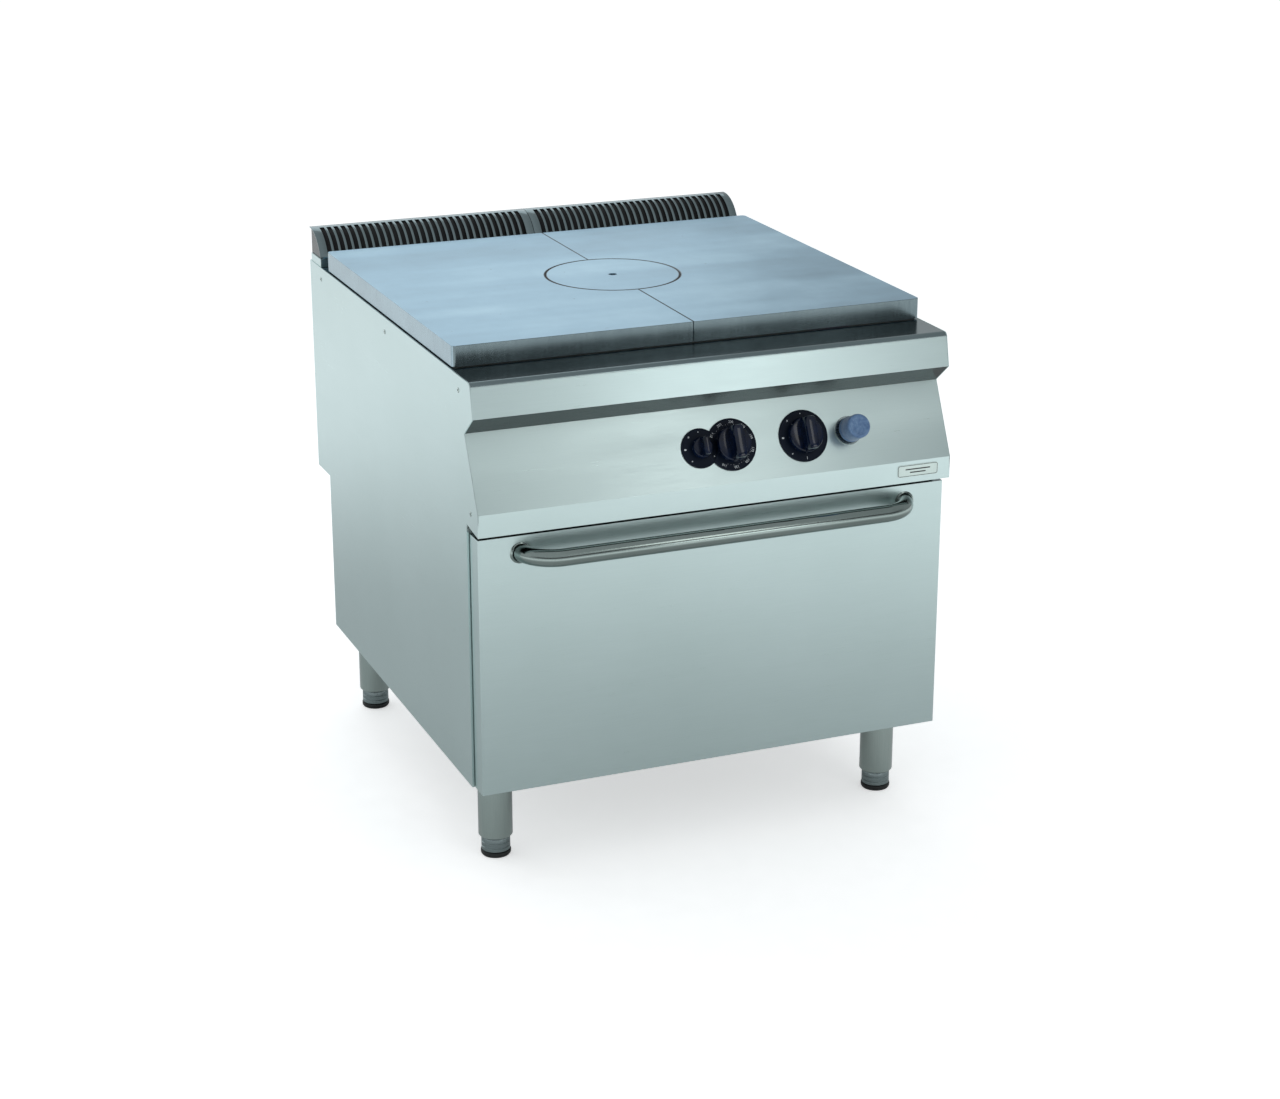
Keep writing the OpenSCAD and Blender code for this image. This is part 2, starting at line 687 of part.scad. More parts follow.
grid_level = 2;
module oven_grid() color("#c3cacc") {
    x1 = runner_x - 8.5;
    y0 = liner_y + 60;
    y1 = liner_back - 50;
    z = shelf_z(grid_level) + 1.05;
    r = 3.5;
    for (y = [y0, y1]) rod([-x1, y, z], [x1, y, z], r);
    for (x = [-x1, x1]) rod([x, y0, z], [x, y1, z], r);
    for (x = [-x1, x1], y = [y0, y1]) translate([x, y, z]) sphere(r = r);
    for (i = [1:13]) let (x = -x1 + i * x1 / 7) rod([x, y0, z + 1], [x, y1, z + 1], 2);
    rod([-x1, (y0 + y1) / 2, z - 2.5], [x1, (y0 + y1) / 2, z - 2.5], 3);
}

module oven_face_frame() color(steel)
    difference() {
        block([-in_w / 2 + 0.5, frame_y, base_z], [in_w / 2 - 0.5, liner_y, lip_z + drip_rise - 3]);
        block([-cavity_w / 2, frame_y - 1, cavity_z], [cavity_w / 2, liner_y + 1, cavity_top]);
        for (i = [-5:5])
            block([i * 45 - 14, frame_y - 1, liner_z + 20], [i * 45 + 14, liner_y + 1, liner_z + 30]);
        both_sides()
            block([hinge_x - 5.3, frame_y - 1, base_z - 1], [hinge_x + 5.3, liner_y + 1, hinge_z + 6.3]);
    }

module thermostat_bulb() color("#b8733f") {
    x0 = -cavity_w / 2;
    xo = x0 - liner_t - insulation_t - 6;
    y2 = valve_at[0] + 30;
    start = [thermostat_x + 12, valve_at[0] + 2, valve_at[1] - 26];
    translate([x0 + 12, bulb_y, bulb_z]) rotate([-90, 0, 0]) cylinder(r = 3.5, h = 110, $fn = soft);
    pipe([start, start - [0, 0, 22], [start[0], y2, start[2] - 22], [xo, y2, start[2] - 22],
          [xo, y2, bulb_z + 12], [xo, bulb_y, bulb_z + 12], [xo, bulb_y, bulb_z],
          [x0 + 12, bulb_y, bulb_z], [x0 + 12, bulb_y + 6, bulb_z]], 1.25, $fn = soft);
    for (k = [20, 90]) block([x0, bulb_y + k, bulb_z - 3], [x0 + 9.5, bulb_y + k + 5, bulb_z + 3]);
}

// ---------- door ----------

pan_t = 1.2;
module hinge_pocket()
    both_sides()
        block([hinge_x - 14, hinge_y - 9, leg_h - 1], [hinge_x + 14, door_back_y + 20, hinge_z + 12]);

module door_outer_panel() color(steel)
    difference() {
        block([-door_w / 2, door_y, leg_h], [door_w / 2, door_back_y, door_top_z]);
        block([-door_w / 2 + pan_t, door_y + skin_t, leg_h + pan_t],
              [door_w / 2 - pan_t, door_back_y + 1, door_top_z - pan_t]);
        hinge_pocket();
    }

module door_inner_panel() color(steel) {
    x1 = door_w / 2 - pan_t - cover_gap;
    z0 = leg_h + pan_t + cover_gap;
    z1 = door_top_z - pan_t - cover_gap;
    difference() {
        union() {
            block([-x1, door_back_y - skin_t, z0], [x1, door_back_y, z1]);
            block([-cavity_w / 2 + 14, door_back_y - skin_t, cavity_z + 14],
                  [cavity_w / 2 - 14, door_back_y + 6, cavity_top - 14]);
        }
        block([-cavity_w / 2 + 14 + skin_t, door_back_y - 5, cavity_z + 14 + skin_t],
              [cavity_w / 2 - 14 - skin_t, door_back_y + 6 - skin_t, cavity_top - 14 - skin_t]);
        hinge_pocket();
    }
}

module door_insulation() color(wool)
    difference() {
        block([-door_w / 2 + 4, door_y + skin_t, leg_h + 4],
              [door_w / 2 - 4, door_back_y - skin_t, door_top_z - 4]);
        both_sides() block([hinge_x - 15, hinge_y - 10, leg_h], [hinge_x + 15, door_back_y, hinge_z + 130]);
    }

module handle_bar(r) {
    z = door_top_z - handle_drop;
    y = door_y - handle_out;
    bend_x = handle_x - handle_bend;
    rod([-bend_x, y, z], [bend_x, y, z], r);
    both_sides() translate([bend_x, y + handle_bend, z]) {
        rotate([0, 0, -90]) rotate_extrude(angle = 90) translate([handle_bend, 0]) circle(r = r);
        translate([handle_bend, 0, 0]) rotate([-90, 0, 0]) cylinder(r = r, h = handle_out);
    }
}
module door_handle() color(dark_steel)
    difference() {
        handle_bar(handle_r);
        handle_bar(handle_r - 1.5);
        block([-half_w, door_y, leg_h], [half_w, door_y + 100, top_h]);
    }

module door_gasket() color("#d9d6cc") {
    w = 12;
    x1 = cavity_w / 2 + 4;
    difference() {
        block([-x1 - w, door_back_y + 0.5, cavity_z - 4 - w], [x1 + w, frame_y, cavity_top + 4 + w]);
        block([-x1, door_back_y - 1, cavity_z - 4], [x1, frame_y + 1, cavity_top + 4]);
    }
}

module hinge_arms() color(galvanised)
    both_sides() difference() {
        union() {
            block([hinge_x - 12, hinge_y - 6, hinge_z], [hinge_x + 12, hinge_y, hinge_z + 120]);
            translate([hinge_x - 12, hinge_y, hinge_z]) rotate([0, 90, 0]) cylinder(r = 5.8, h = 24);
        }
        block([hinge_x - 5.4, hinge_y - 8, hinge_z - 9], [hinge_x + 5.4, hinge_y + 8, hinge_z + 9]);
        translate([hinge_x - 20, hinge_y, hinge_z]) rotate([0, 90, 0]) cylinder(r = 3 + run_gap, h = 40);
    }

module hinge_brackets() color(galvanised)
    both_sides() {
        translate([hinge_x - 5, hinge_y, hinge_z]) rotate([0, 90, 0]) cylinder(r = 5.5, h = 10);
        block([hinge_x - 5, hinge_y, hinge_z - 4.2], [hinge_x + 5, liner_y, hinge_z + 5.5]);
        translate([hinge_x - 12, hinge_y, hinge_z]) rotate([0, 90, 0]) cylinder(r = 3, h = 24);
        block([hinge_x - 14, liner_y, base_z + deck_t], [hinge_x + 14, liner_y + 3, hinge_z + 100]);
    }

// ---------- controls ----------

module dial_plate_oven() color(black)
    difference() {
        union() {
            on_panel(oven_valve_x) cylinder(r = small_dial_r, h = dial_t);
            on_panel(thermostat_x) cylinder(r = large_dial_r, h = dial_t);
        }
        for (x = [oven_valve_x, thermostat_x])
            on_panel(x) translate([0, 0, -1]) cylinder(r = spindle_r + 1, h = dial_t + 2);
    }
module dial_plate_hob() color(black)
    difference() {
        on_panel(hob_valve_x) cylinder(r = large_dial_r, h = dial_t);
        on_panel(hob_valve_x) translate([0, 0, -1]) cylinder(r = spindle_r + 1, h = dial_t + 2);
    }

knob_gap = dial_t + knob_push + 1;           // base of a knob above the panel
spindle_in = 30;                             // how deep a spindle runs into its valve
module spindle(x) on_panel(x)
    translate([0, 0, -spindle_in]) cylinder(r = spindle_r, h = spindle_in + knob_gap + 16);
module spindle_oven() color(dark_steel) spindle(oven_valve_x);
module spindle_hob() color(dark_steel) spindle(hob_valve_x);

// round skirt with an upright grip across it
module knob(r, h, grip) difference() {
    union() {
        cylinder(r1 = r, r2 = r - 1.5, h = h * 0.28);
        intersection() {
            cylinder(r1 = r - 1.5, r2 = r - 4, h = h);
            translate([-grip / 2, -r, 0]) cube([grip, 2 * r, h]);
        }
    }
    translate([0, 0, -1]) cylinder(r = spindle_r + run_gap, h = 17.3);
}
module knob_oven() color(black)
    on_panel(oven_valve_x) translate([0, 0, knob_gap]) knob(small_knob_r, knob_h * 0.8, 11);
module knob_hob() color(black) on_panel(hob_valve_x) translate([0, 0, knob_gap]) knob(knob_r, knob_h, 22);
module knob_thermostat() color(black) on_panel(thermostat_x) {
    translate([0, 0, knob_gap]) knob(knob_r, knob_h, 22);
    translate([0, 0, -spindle_in]) cylinder(r = spindle_r, h = spindle_in + knob_gap + 17);
}

module valve(x, r) on_panel(x) difference() {
    union() {
        translate([0, 0, -62]) cylinder(r = r, h = 50);
        translate([0, 0, -16]) cylinder(r = r - 4, h = 16 - deck_t - 0.1);
        translate([-r + 2, -r + 2, -60]) cube([2 * r - 4, 2 * r - 4, 26]);
        translate([0, 0, -78 + pipe_r]) cylinder(r = 7, h = 10);
    }
    translate([0, 0, -spindle_in - knob_push - 1])
        cylinder(r = spindle_r + run_gap, h = spindle_in + knob_push + 4);
    translate([-30, 0, -78]) rotate([0, 90, 0]) cylinder(r = pipe_r, h = 60);
}
module valve_oven() color(brass) valve(oven_valve_x, 15);
module valve_hob() color(brass) {
    valve(hob_valve_x, 17);
    rod([hob_valve_x - 16, valve_at[0], valve_at[1]], [hob_valve_x - 26, valve_at[0], valve_at[1]], 7);
}
module thermostat_body() color(brass) valve(thermostat_x, 20);

igniter_body_r = 11;
module igniter_body() color(dark_steel) on_panel(igniter_x) difference() {
    union() {
        translate([0, 0, -50]) cylinder(r = igniter_body_r, h = 50);
        cylinder(r = 23, h = 2);
        cylinder(r = 14, h = 14);
    }
    translate([0, 0, -20]) cylinder(r = 5 + run_gap, h = 40);
}
module igniter_button() color(blue_rubber) on_panel(igniter_x) {
    lift = igniter_push + 3;
    difference() {
        union() {
            translate([0, 0, lift]) cylinder(r1 = 20.5, r2 = 19.3, h = 31);
            translate([0, 0, lift + 31]) cylinder(r1 = 19.3, r2 = 16.5, h = 3);
        }
        translate([0, 0, lift - 1]) cylinder(r = 14.6, h = 14);
    }
    translate([0, 0, -10]) cylinder(r = 5, h = lift + 24);
}

module gas_supply_pipe() color(galvanised) {
    drop = rail_at[1] - 36;
    stub = [pipe_x, service_y - 36, inlet_z];
    pipe([[-90, rail_at[0], rail_at[1]], [pipe_x, rail_at[0], rail_at[1]], [pipe_x, rail_at[0], drop],
          [pipe_x, stub[1], drop], stub, [pipe_x, service_y + hex_w + inlet_len, inlet_z]],
         pipe_r, elbow);
    // hexagon that holds the threaded inlet against the back
    translate([pipe_x, service_y, inlet_z]) rotate([-90, 0, 0]) cylinder(r = pipe_r + 5, h = hex_w, $fn = 6);
    translate([-86, rail_at[0], rail_at[1]]) rotate([0, 90, 0]) cylinder(r = pipe_r + 3, h = 12);
}

module burner_pipes() color("#b8733f") {
    y = valve_at[0];
    z = valve_at[1];
    low = lip_top_z - 4;
    jet_y = box_y - 34;
    pipe([[hob_valve_x - 26, y, z], [hob_valve_x - 50, y, z], [hob_valve_x - 50, y, burner_z],
          [hob_valve_x - 50, jet_y, burner_z], [0, jet_y, burner_z], [0, box_y - 20, burner_z]], 5, $fn = 48);
    translate([0, box_y - 25, burner_z]) rotate([-90, 0, 0]) cylinder(r = 8, h = 10);
    side = -pipe_x;
    pipe([[thermostat_x, y + 4, z - 27], [thermostat_x, y + 4, low], [side, y + 4, low],
          [side, y + 4, oven_burner_z], [side, burner_mid_y, oven_burner_z],
          [-mix_end - 3, burner_mid_y, oven_burner_z]], 5, $fn = 48);
}

// ---------- legs ----------

tube_z = foot_h;
module leg_tubes() color(steel)
    for (p = leg_places) translate([p[0], p[1], 0]) {
        difference() {
            translate([0, 0, tube_z + 2]) cylinder(r = leg_r, h = base_z - tube_z - 2);
            translate([0, 0, tube_z]) cylinder(r = leg_r - 1.5, h = base_z - tube_z - 3);
        }
        // threaded plug in the tube's end
        difference() {
            union() {
                translate([0, 0, tube_z]) cylinder(r1 = leg_r - 2, r2 = leg_r, h = 2);
                translate([0, 0, tube_z + 2]) cylinder(r = leg_r - 1.2, h = 22);
            }
            translate([0, 0, tube_z - 1]) cylinder(r = stem_r + run_gap, h = 40);
        }
    }

pad_h = 9;
module foot(p) color(dark_steel) translate([p[0], p[1], 0]) {
    translate([0, 0, pad_h]) cylinder(r1 = foot_r, r2 = foot_r - 1, h = foot_h - pad_h - cover_gap);
    translate([0, 0, foot_h - 1]) cylinder(r = stem_r, h = foot_travel + 30);
}
module pad(p) color(black) translate([p[0], p[1], 0]) {
    cylinder(r1 = foot_r - 2, r2 = foot_r + 1, h = 4);
    translate([0, 0, 4]) cylinder(r = foot_r + 1, h = pad_h - 4);
}
module foot_front_left() foot(leg_places[0]);
module foot_front_right() foot(leg_places[1]);
module foot_rear_left() foot(leg_places[2]);
module foot_rear_right() foot(leg_places[3]);
module pad_front_left() pad(leg_places[0]);
module pad_front_right() pad(leg_places[1]);
module pad_rear_left() pad(leg_places[2]);
module pad_rear_right() pad(leg_places[3]);

side_panel_left();
side_panel_right();
back_panel();
base_tray();
chassis_frame();
worktop();
control_panel();
badge_plate();
burner_box();
refractory_bricks();
hob_burner();
hob_burner_cap();
hob_pilot();
solid_top_left();
solid_top_right();
centre_disc();
flue_duct();
flue_grille_left();
flue_grille_right();
flue_end_caps();
flue_rail();
oven_liner();
oven_insulation();
oven_floor_plate();
oven_burner();
shelf_runners();
oven_grid();
oven_face_frame();
thermostat_bulb();
door_outer_panel();
door_inner_panel();
door_insulation();
door_handle();
door_gasket();
hinge_arms();
hinge_brackets();
dial_plate_oven();
dial_plate_hob();
spindle_oven();
knob_oven();
knob_thermostat();
spindle_hob();
knob_hob();
valve_oven();
thermostat_body();
valve_hob();
igniter_button();
igniter_body();
gas_supply_pipe();
burner_pipes();
panel_screws();
leg_tubes();
foot_front_left();
foot_front_right();
foot_rear_left();
foot_rear_right();
pad_front_left();
pad_front_right();
pad_rear_left();
pad_rear_right();
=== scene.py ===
import json
import math
from itertools import product

import bmesh
import bpy
from mathutils import Matrix, Vector


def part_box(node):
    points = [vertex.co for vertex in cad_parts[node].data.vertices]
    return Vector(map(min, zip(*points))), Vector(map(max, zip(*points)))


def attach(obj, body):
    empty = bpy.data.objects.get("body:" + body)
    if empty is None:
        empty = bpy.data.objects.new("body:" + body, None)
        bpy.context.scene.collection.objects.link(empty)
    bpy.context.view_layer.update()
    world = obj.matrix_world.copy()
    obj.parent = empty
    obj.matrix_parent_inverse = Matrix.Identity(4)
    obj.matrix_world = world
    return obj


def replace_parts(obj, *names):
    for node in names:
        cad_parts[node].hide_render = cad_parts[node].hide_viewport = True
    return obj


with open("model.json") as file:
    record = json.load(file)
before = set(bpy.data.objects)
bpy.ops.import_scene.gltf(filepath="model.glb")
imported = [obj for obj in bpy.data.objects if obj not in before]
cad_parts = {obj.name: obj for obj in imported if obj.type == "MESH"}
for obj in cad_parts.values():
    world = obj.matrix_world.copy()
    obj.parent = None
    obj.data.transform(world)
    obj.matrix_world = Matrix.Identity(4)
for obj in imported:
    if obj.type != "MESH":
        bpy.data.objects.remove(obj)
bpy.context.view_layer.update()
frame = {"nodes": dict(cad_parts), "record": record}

MM = 0.001
SLOTS = {s["node"]: s["material_slot"] for s in frame["record"]["subparts"]}
BODY_OF = {n: b for b, members in frame["record"]["behaviour"]["bodies"].items() for n in members}
SCENE = bpy.context.scene


# ---------------------------------------------------------------- camera, light and floor

def aimed(kind, data, place, target):
    """An object that looks from a place at a target."""
    made = bpy.data.objects.new(kind, data)
    SCENE.collection.objects.link(made)
    made.location = place
    made.rotation_mode = "QUATERNION"
    made.rotation_quaternion = (Vector(target) - Vector(place)).to_track_quat("-Z", "Y")
    return made


def set_camera():
    data = bpy.data.cameras.new("camera")
    data.sensor_width = 36
    data.lens = 73.93
    yaw, pitch = math.radians(22.24), math.radians(19.39)
    place = Vector((-1.5847, -3.9681, 1.8748))
    look = Vector((math.sin(yaw) * math.cos(pitch), math.cos(yaw) * math.cos(pitch), -math.sin(pitch)))
    data.clip_end = 60
    SCENE.camera = aimed("camera", data, place, place + look)


def softbox(name, place, target, size, power, colour):
    data = bpy.data.lights.new(name, "AREA")
    data.shape = "RECTANGLE"
    data.size, data.size_y = size
    data.energy = power
    data.color = colour
    return aimed(name, data, place, target)


def set_lights():
    """A white tent with four softboxes: behind on the left, high and low in front on the right, and behind and
    above. The tent is dark in a band in front, above the horizon, where the camera stands."""
    softbox("softbox_left", (-2.9, 3.4, 1.7), (-0.5, 0.6, 0.5), (2.2, 1.4), 11, (0.92, 0.97, 1.0))
    softbox("softbox_front", (1.5, -3.6, 2.8), (0.1, -0.4, 0.6), (0.6, 1.1), 4.2, (1.0, 1.0, 0.97))
    softbox("softbox_low", (1.3, -3.4, 1.0), (0.05, -0.4, 0.7), (0.6, 0.8), 3.2, (0.97, 1.0, 1.0))
    softbox("softbox_top", (0.15, 2.6, 2.1), (0.0, 0.0, 0.9), (2.5, 1.7), 9.5, (0.88, 0.96, 1.0))

    world = bpy.data.worlds.new("tent")
    SCENE.world = world
    world.use_nodes = True
    tree = world.node_tree
    tree.nodes.clear()
    way = add(tree, "SeparateXYZ", {0: add(tree, "TexCoord").outputs["Generated"]})
    height = add(tree, "MapRange", {0: way.outputs[2], 1: -1.0, 2: 1.0, 3: 0.0, 4: 1.0}).outputs[0]
    # brightness from straight down (0) past the horizon (0.5) to straight up (1), all round and in front
    around, front = (add(tree, "ValToRGB", {0: height}, [(spot, (v * 0.96, v, v * 1.02, 1)) for spot, v in levels])
                     .outputs[0] for levels in (
        ((0.0, 0.7), (0.46, 0.7), (0.55, 0.85), (0.7, 0.9), (1.0, 0.8)),
        ((0.0, 0.7), (0.46, 1.0), (0.54, 1.2), (0.6, 0.1), (0.66, 0.1), (0.72, 0.85), (1.0, 0.8))))
    ahead = add(tree, "MapRange", {0: way.outputs[1], 1: -0.15, 2: -0.6, 3: 0.0, 4: 1.0}).outputs[0]
    shade = add(tree, "Mix", {0: ahead, 6: around, 7: front}, data_type="RGBA").outputs[2]
    # the room beyond the tent's right side
    right = add(tree, "MapRange", {0: way.outputs[0], 1: 0.15, 2: 0.6, 3: 0.0, 4: 0.35}).outputs[0]
    shade = add(tree, "Mix", {0: right, 6: shade, 7: (0.2, 0.22, 0.23, 1)}, data_type="RGBA").outputs[2]
    seen = add(tree, "LightPath").outputs["Is Camera Ray"]
    tent = add(tree, "Background", {0: shade, 1: 0.78}).outputs[0]
    paper = add(tree, "Background", {0: (1, 1, 1, 1), 1: 1.0}).outputs[0]
    add(tree, "OutputWorld", {0: add(tree, "MixShader", {0: seen, 1: tent, 2: paper}).outputs[0]})
    SCENE.view_settings.view_transform = "Standard"


def set_floor():
    mesh = bpy.data.meshes.new("floor")
    half = 12.0
    mesh.from_pydata([(-half, -half, 0), (half, -half, 0), (half, half, 0), (-half, half, 0)], [], [(0, 1, 2, 3)])
    floor = bpy.data.objects.new("floor", mesh)
    SCENE.collection.objects.link(floor)
    mesh.materials.append(floor_paper())


# ---------------------------------------------------------------- materials

def linear(code):
    """An sRGB hex code as the linear colour that shaders take."""
    parts = [int(code[i:i + 2], 16) / 255 for i in (1, 3, 5)]
    return tuple(c / 12.92 if c <= 0.04045 else ((c + 0.055) / 1.055) ** 2.4 for c in parts) + (1.0,)


def feed(tree, socket, value):
    """Links a socket to another node's output, or gives it a plain value."""
    if isinstance(value, bpy.types.NodeSocket):
        tree.links.new(value, socket)
    else:
        socket.default_value = value


def add(tree, kind, inputs=(), steps=(), **settings):
    """Adds one node: settings are its properties, inputs are sockets given a value or another node's output, and
    steps are a colour ramp's places, each with its sRGB hex code or its linear colour."""
    made = tree.nodes.new("ShaderNode" + kind)
    for name, value in settings.items():
        setattr(made, name, value)
    for name, value in dict(inputs).items():
        feed(tree, made.inputs[name], value)
    if steps:
        elements = made.color_ramp.elements
        while len(elements) > 1:
            elements.remove(elements[-1])
        elements[0].position = steps[0][0]
        for i, (spot, colour) in enumerate(steps):
            element = elements.new(spot) if i else elements[0]
            element.color = linear(colour) if isinstance(colour, str) else colour
    return made


def coat(tree, shader, colour, rough, metal=0.0):
    """Gives a shader its colour, its roughness and how much of it is metal."""
    for name, value in (("Base Color", colour), ("Roughness", rough), ("Metallic", metal)):
        feed(tree, shader.inputs[name], value)


def start(name):
    """An empty material with its tree, its shader and the place on the object in metres."""
    material = bpy.data.materials.new(name)
    material.use_nodes = True
    tree = material.node_tree
    tree.nodes.clear()
    shader = add(tree, "BsdfPrincipled")
    add(tree, "OutputMaterial", {0: shader.outputs[0]})
    place = add(tree, "TexCoord").outputs["Object"]
    return material, tree, shader, place


def per_mm(size):
    """How many times a pattern of this size in millimetres repeats in a metre."""
    return 1000.0 / size


def noise(tree, place, size, detail=2.0, rough=0.5, stretch=(1, 1, 1)):
    """Noise with a grain of size millimetres, drawn out by stretch along each axis."""
    scale = tuple(per_mm(size) / s for s in stretch)
    laid = add(tree, "Mapping", {0: place, 3: scale})
    return add(tree, "TexNoise", {0: laid.outputs[0], 2: 1.0, 3: detail, 4: rough}).outputs[0]


def bumped(tree, shader, height, depth, strength=1.0):
    """Relief of a depth in millimetres."""
    made = add(tree, "Bump", {"Height": height, "Distance": depth * MM, "Strength": strength})
    tree.links.new(made.outputs[0], shader.inputs["Normal"])


def brushed_steel(name, stretch, light, dark, rough, grain, smear_strength=0.5):
    """Stainless steel rubbed with an abrasive pad: fine parallel lines that smear the highlights across them.
    The real lines are about 0.05 mm wide, too fine to show, so they are drawn grain millimetres wide."""
    material, tree, shader, place = start(name)
    lines = noise(tree, place, grain, 3.0, 0.6, stretch)
    cloud = noise(tree, place, 320, 3.0, 0.55)
    smear = noise(tree, place, 30, 4.0, 0.6, tuple(1 + (s - 1) * 0.08 for s in stretch))
    both = add(tree, "Mix", {0: 0.6, 2: lines, 3: cloud}).outputs[0]
    colour = add(tree, "ValToRGB", {0: both}, ((0.3, dark), (0.7, light))).outputs[0]
    mixed = add(tree, "Mix", {0: 0.35, 2: lines, 3: smear}).outputs[0]
    gloss = add(tree, "MapRange", {0: mixed, 1: 0.3, 2: 0.7, 3: rough - 0.03, 4: rough + 0.04}).outputs[0]
    coat(tree, shader, colour, gloss, 1.0)
    shader.inputs["Anisotropic"].default_value = smear_strength
    shader.inputs["Anisotropic Rotation"].default_value = 0.25
    tangent = add(tree, "Tangent", direction_type="RADIAL", axis="Z").outputs[0]
    tree.links.new(tangent, shader.inputs["Tangent"])
    bumped(tree, shader, lines, 0.005, 0.12)
    return material


def satin_panel_steel():
    """AISI 304 sheet, pad-finished along its width: pale, with a faint green-blue cast."""
    return brushed_steel("stainless_304_satin", (60, 60, 1), "#c3d3d3", "#bbcccb", 0.3, 0.9)


def deck_steel():
    """The same sheet on the worktop, finished brighter and rubbed by pans being slid over it."""
    return brushed_steel("stainless_304_worktop", (60, 1, 1), "#7f8d90", "#6c7a7d", 0.16, 1.0, 0.2)


def shaded_underside_steel():
    """The folded undersides of the worktop sheet and the control panel: dull, and painted near black as painted shade
    where they face down into shadow.
    """
    return brushed_steel("stainless_304_underside_painted_shade", (60, 1, 1), "#313a39", "#252d2d", 0.25, 1.0, 0.2)


def tube_steel():
    """Drawn stainless tube, belt-polished round and along."""
    return brushed_steel("stainless_304_tube", (1, 1, 60), "#bbc7c3", "#a4b1ae", 0.11, 0.8, 0.2)


def darkened_handle_steel():
    """The same tube on the door handle, painted darker as painted shade for the dark reflections along the tube."""
    return brushed_steel("stainless_304_handle_painted_shade", (60, 1, 1), "#949f9c", "#7d8986", 0.13, 0.8, 0.2)


def turned_steel():
    """Steel turned on a lathe, with fine rings."""
    return brushed_steel("steel_turned", (30, 30, 1), "#97a3a4", "#7f8b8d", 0.26, 0.6, 0.3)


def ground_cast_iron():
    """Cast iron ground flat: broad bands left by the grinding wheel, fine wheel lines, graphite pits and short
    scuffs from pans, with painted shade dark along the joints. It gives a soft pale sheen with almost no sharp
    reflection."""
    material, tree, shader, place = start("cast_iron_ground")
    bands = noise(tree, place, 110, 2.0, 0.5, (9, 1, 1))
    lines = noise(tree, place, 1.6, 2.0, 0.6, (50, 1, 1))
    cloud = noise(tree, place, 150, 4.0, 0.6)
    pits = add(tree, "TexVoronoi", {0: place, 2: per_mm(46)}, feature="F1").outputs[0]
    scuffs_at = add(tree, "Mapping", {0: place, 3: (per_mm(150), per_mm(34), per_mm(34))})
    scuffs = add(tree, "TexVoronoi", {0: scuffs_at.outputs[0], 2: 1.0}, feature="F1").outputs[0]
    tone = add(tree, "Mix", {0: 0.4, 2: bands, 3: cloud}).outputs[0]
    base = add(tree, "ValToRGB", {0: tone}, ((0.34, "#7b9db0"), (0.5, "#98b8ca"), (0.66, "#b4d1e0"))).outputs[0]
    pit_mask = add(tree, "MapRange", {0: pits, 1: 0.018, 2: 0.042, 3: 1.0, 4: 0.0}).outputs[0]
    scuff_mask = add(tree, "MapRange", {0: scuffs, 1: 0.015, 2: 0.03, 3: 1.0, 4: 0.0}).outputs[0]
    spots = add(tree, "Math", {0: pit_mask, 1: scuff_mask}, operation="MAXIMUM").outputs[0]
    faint = add(tree, "Math", {0: spots, 1: 0.65}, operation="MULTIPLY").outputs[0]
    worn = add(tree, "Mix", {0: faint, 6: base, 7: linear("#4f5e68")}, data_type="RGBA").outputs[2]
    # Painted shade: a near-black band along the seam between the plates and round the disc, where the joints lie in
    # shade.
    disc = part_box("centre_disc")
    centred = add(tree, "VectorMath", {0: place, 1: (0, -(disc[0].y + disc[1].y) / 2, 0)}).outputs[0]
    flat = add(tree, "VectorMath", {0: centred, 1: (1, 1, 0)}, operation="MULTIPLY").outputs[0]
    out = add(tree, "VectorMath", {0: flat}, operation="LENGTH").outputs["Value"]
    ring_r = (disc[1].x - disc[0].x) / 2 + 0.8 * MM
    to_ring = add(tree, "Math", {0: out, 1: ring_r}, operation="SUBTRACT").outputs[0]
    by_ring = add(tree, "Math", {0: to_ring}, operation="ABSOLUTE").outputs[0]
    across = add(tree, "SeparateXYZ", {0: place}).outputs[0]
    by_seam = add(tree, "Math", {0: across}, operation="ABSOLUTE").outputs[0]
    beyond = add(tree, "Math", {0: out, 1: ring_r}, operation="GREATER_THAN").outputs[0]
    along_seam = add(tree, "MapRange", {0: by_seam, 1: 0.9 * MM, 2: 2.2 * MM, 3: 0.85, 4: 0.0}).outputs[0]
    seam_mask = add(tree, "Math", {0: along_seam, 1: beyond}, operation="MULTIPLY")
    ring_mask = add(tree, "MapRange", {0: by_ring, 1: 2.0 * MM, 2: 3.0 * MM, 3: 1.0, 4: 0.0}).outputs[0]
    painted_joint_shade = add(tree, "Math", {0: ring_mask, 1: seam_mask.outputs[0]}, operation="MAXIMUM").outputs[0]
    colour = add(tree, "Mix", {0: painted_joint_shade, 6: worn, 7: linear("#10161c")}, data_type="RGBA").outputs[2]
    coat(tree, shader, colour, add(tree, "MapRange", {0: tone, 1: 0.35, 2: 0.65, 3: 0.32, 4: 0.46}).outputs[0], 0.85)
    relief = add(tree, "Math", {0: lines, 1: spots}, operation="SUBTRACT").outputs[0]
    bumped(tree, shader, relief, 0.05, 0.3)
    return material


def raw_cast_iron():
    """Cast iron as it leaves the sand: dark, dry and granular, with a trace of rust in the hollows."""
    material, tree, shader, place = start("cast_iron_sand_cast")
    sand = noise(tree, place, 1.8, 6.0, 0.7)
    patch = noise(tree, place, 60, 4.0, 0.6)
    colour = add(tree, "ValToRGB", {0: patch}, ((0.35, "#2d2c2c"), (0.6, "#3d3c3b"), (0.75, "#4b4039"))).outputs[0]
    coat(tree, shader, colour, add(tree, "MapRange", {0: sand, 3: 0.55, 4: 0.8}).outputs[0], 0.6)
    bumped(tree, shader, sand, 0.35)
    return material


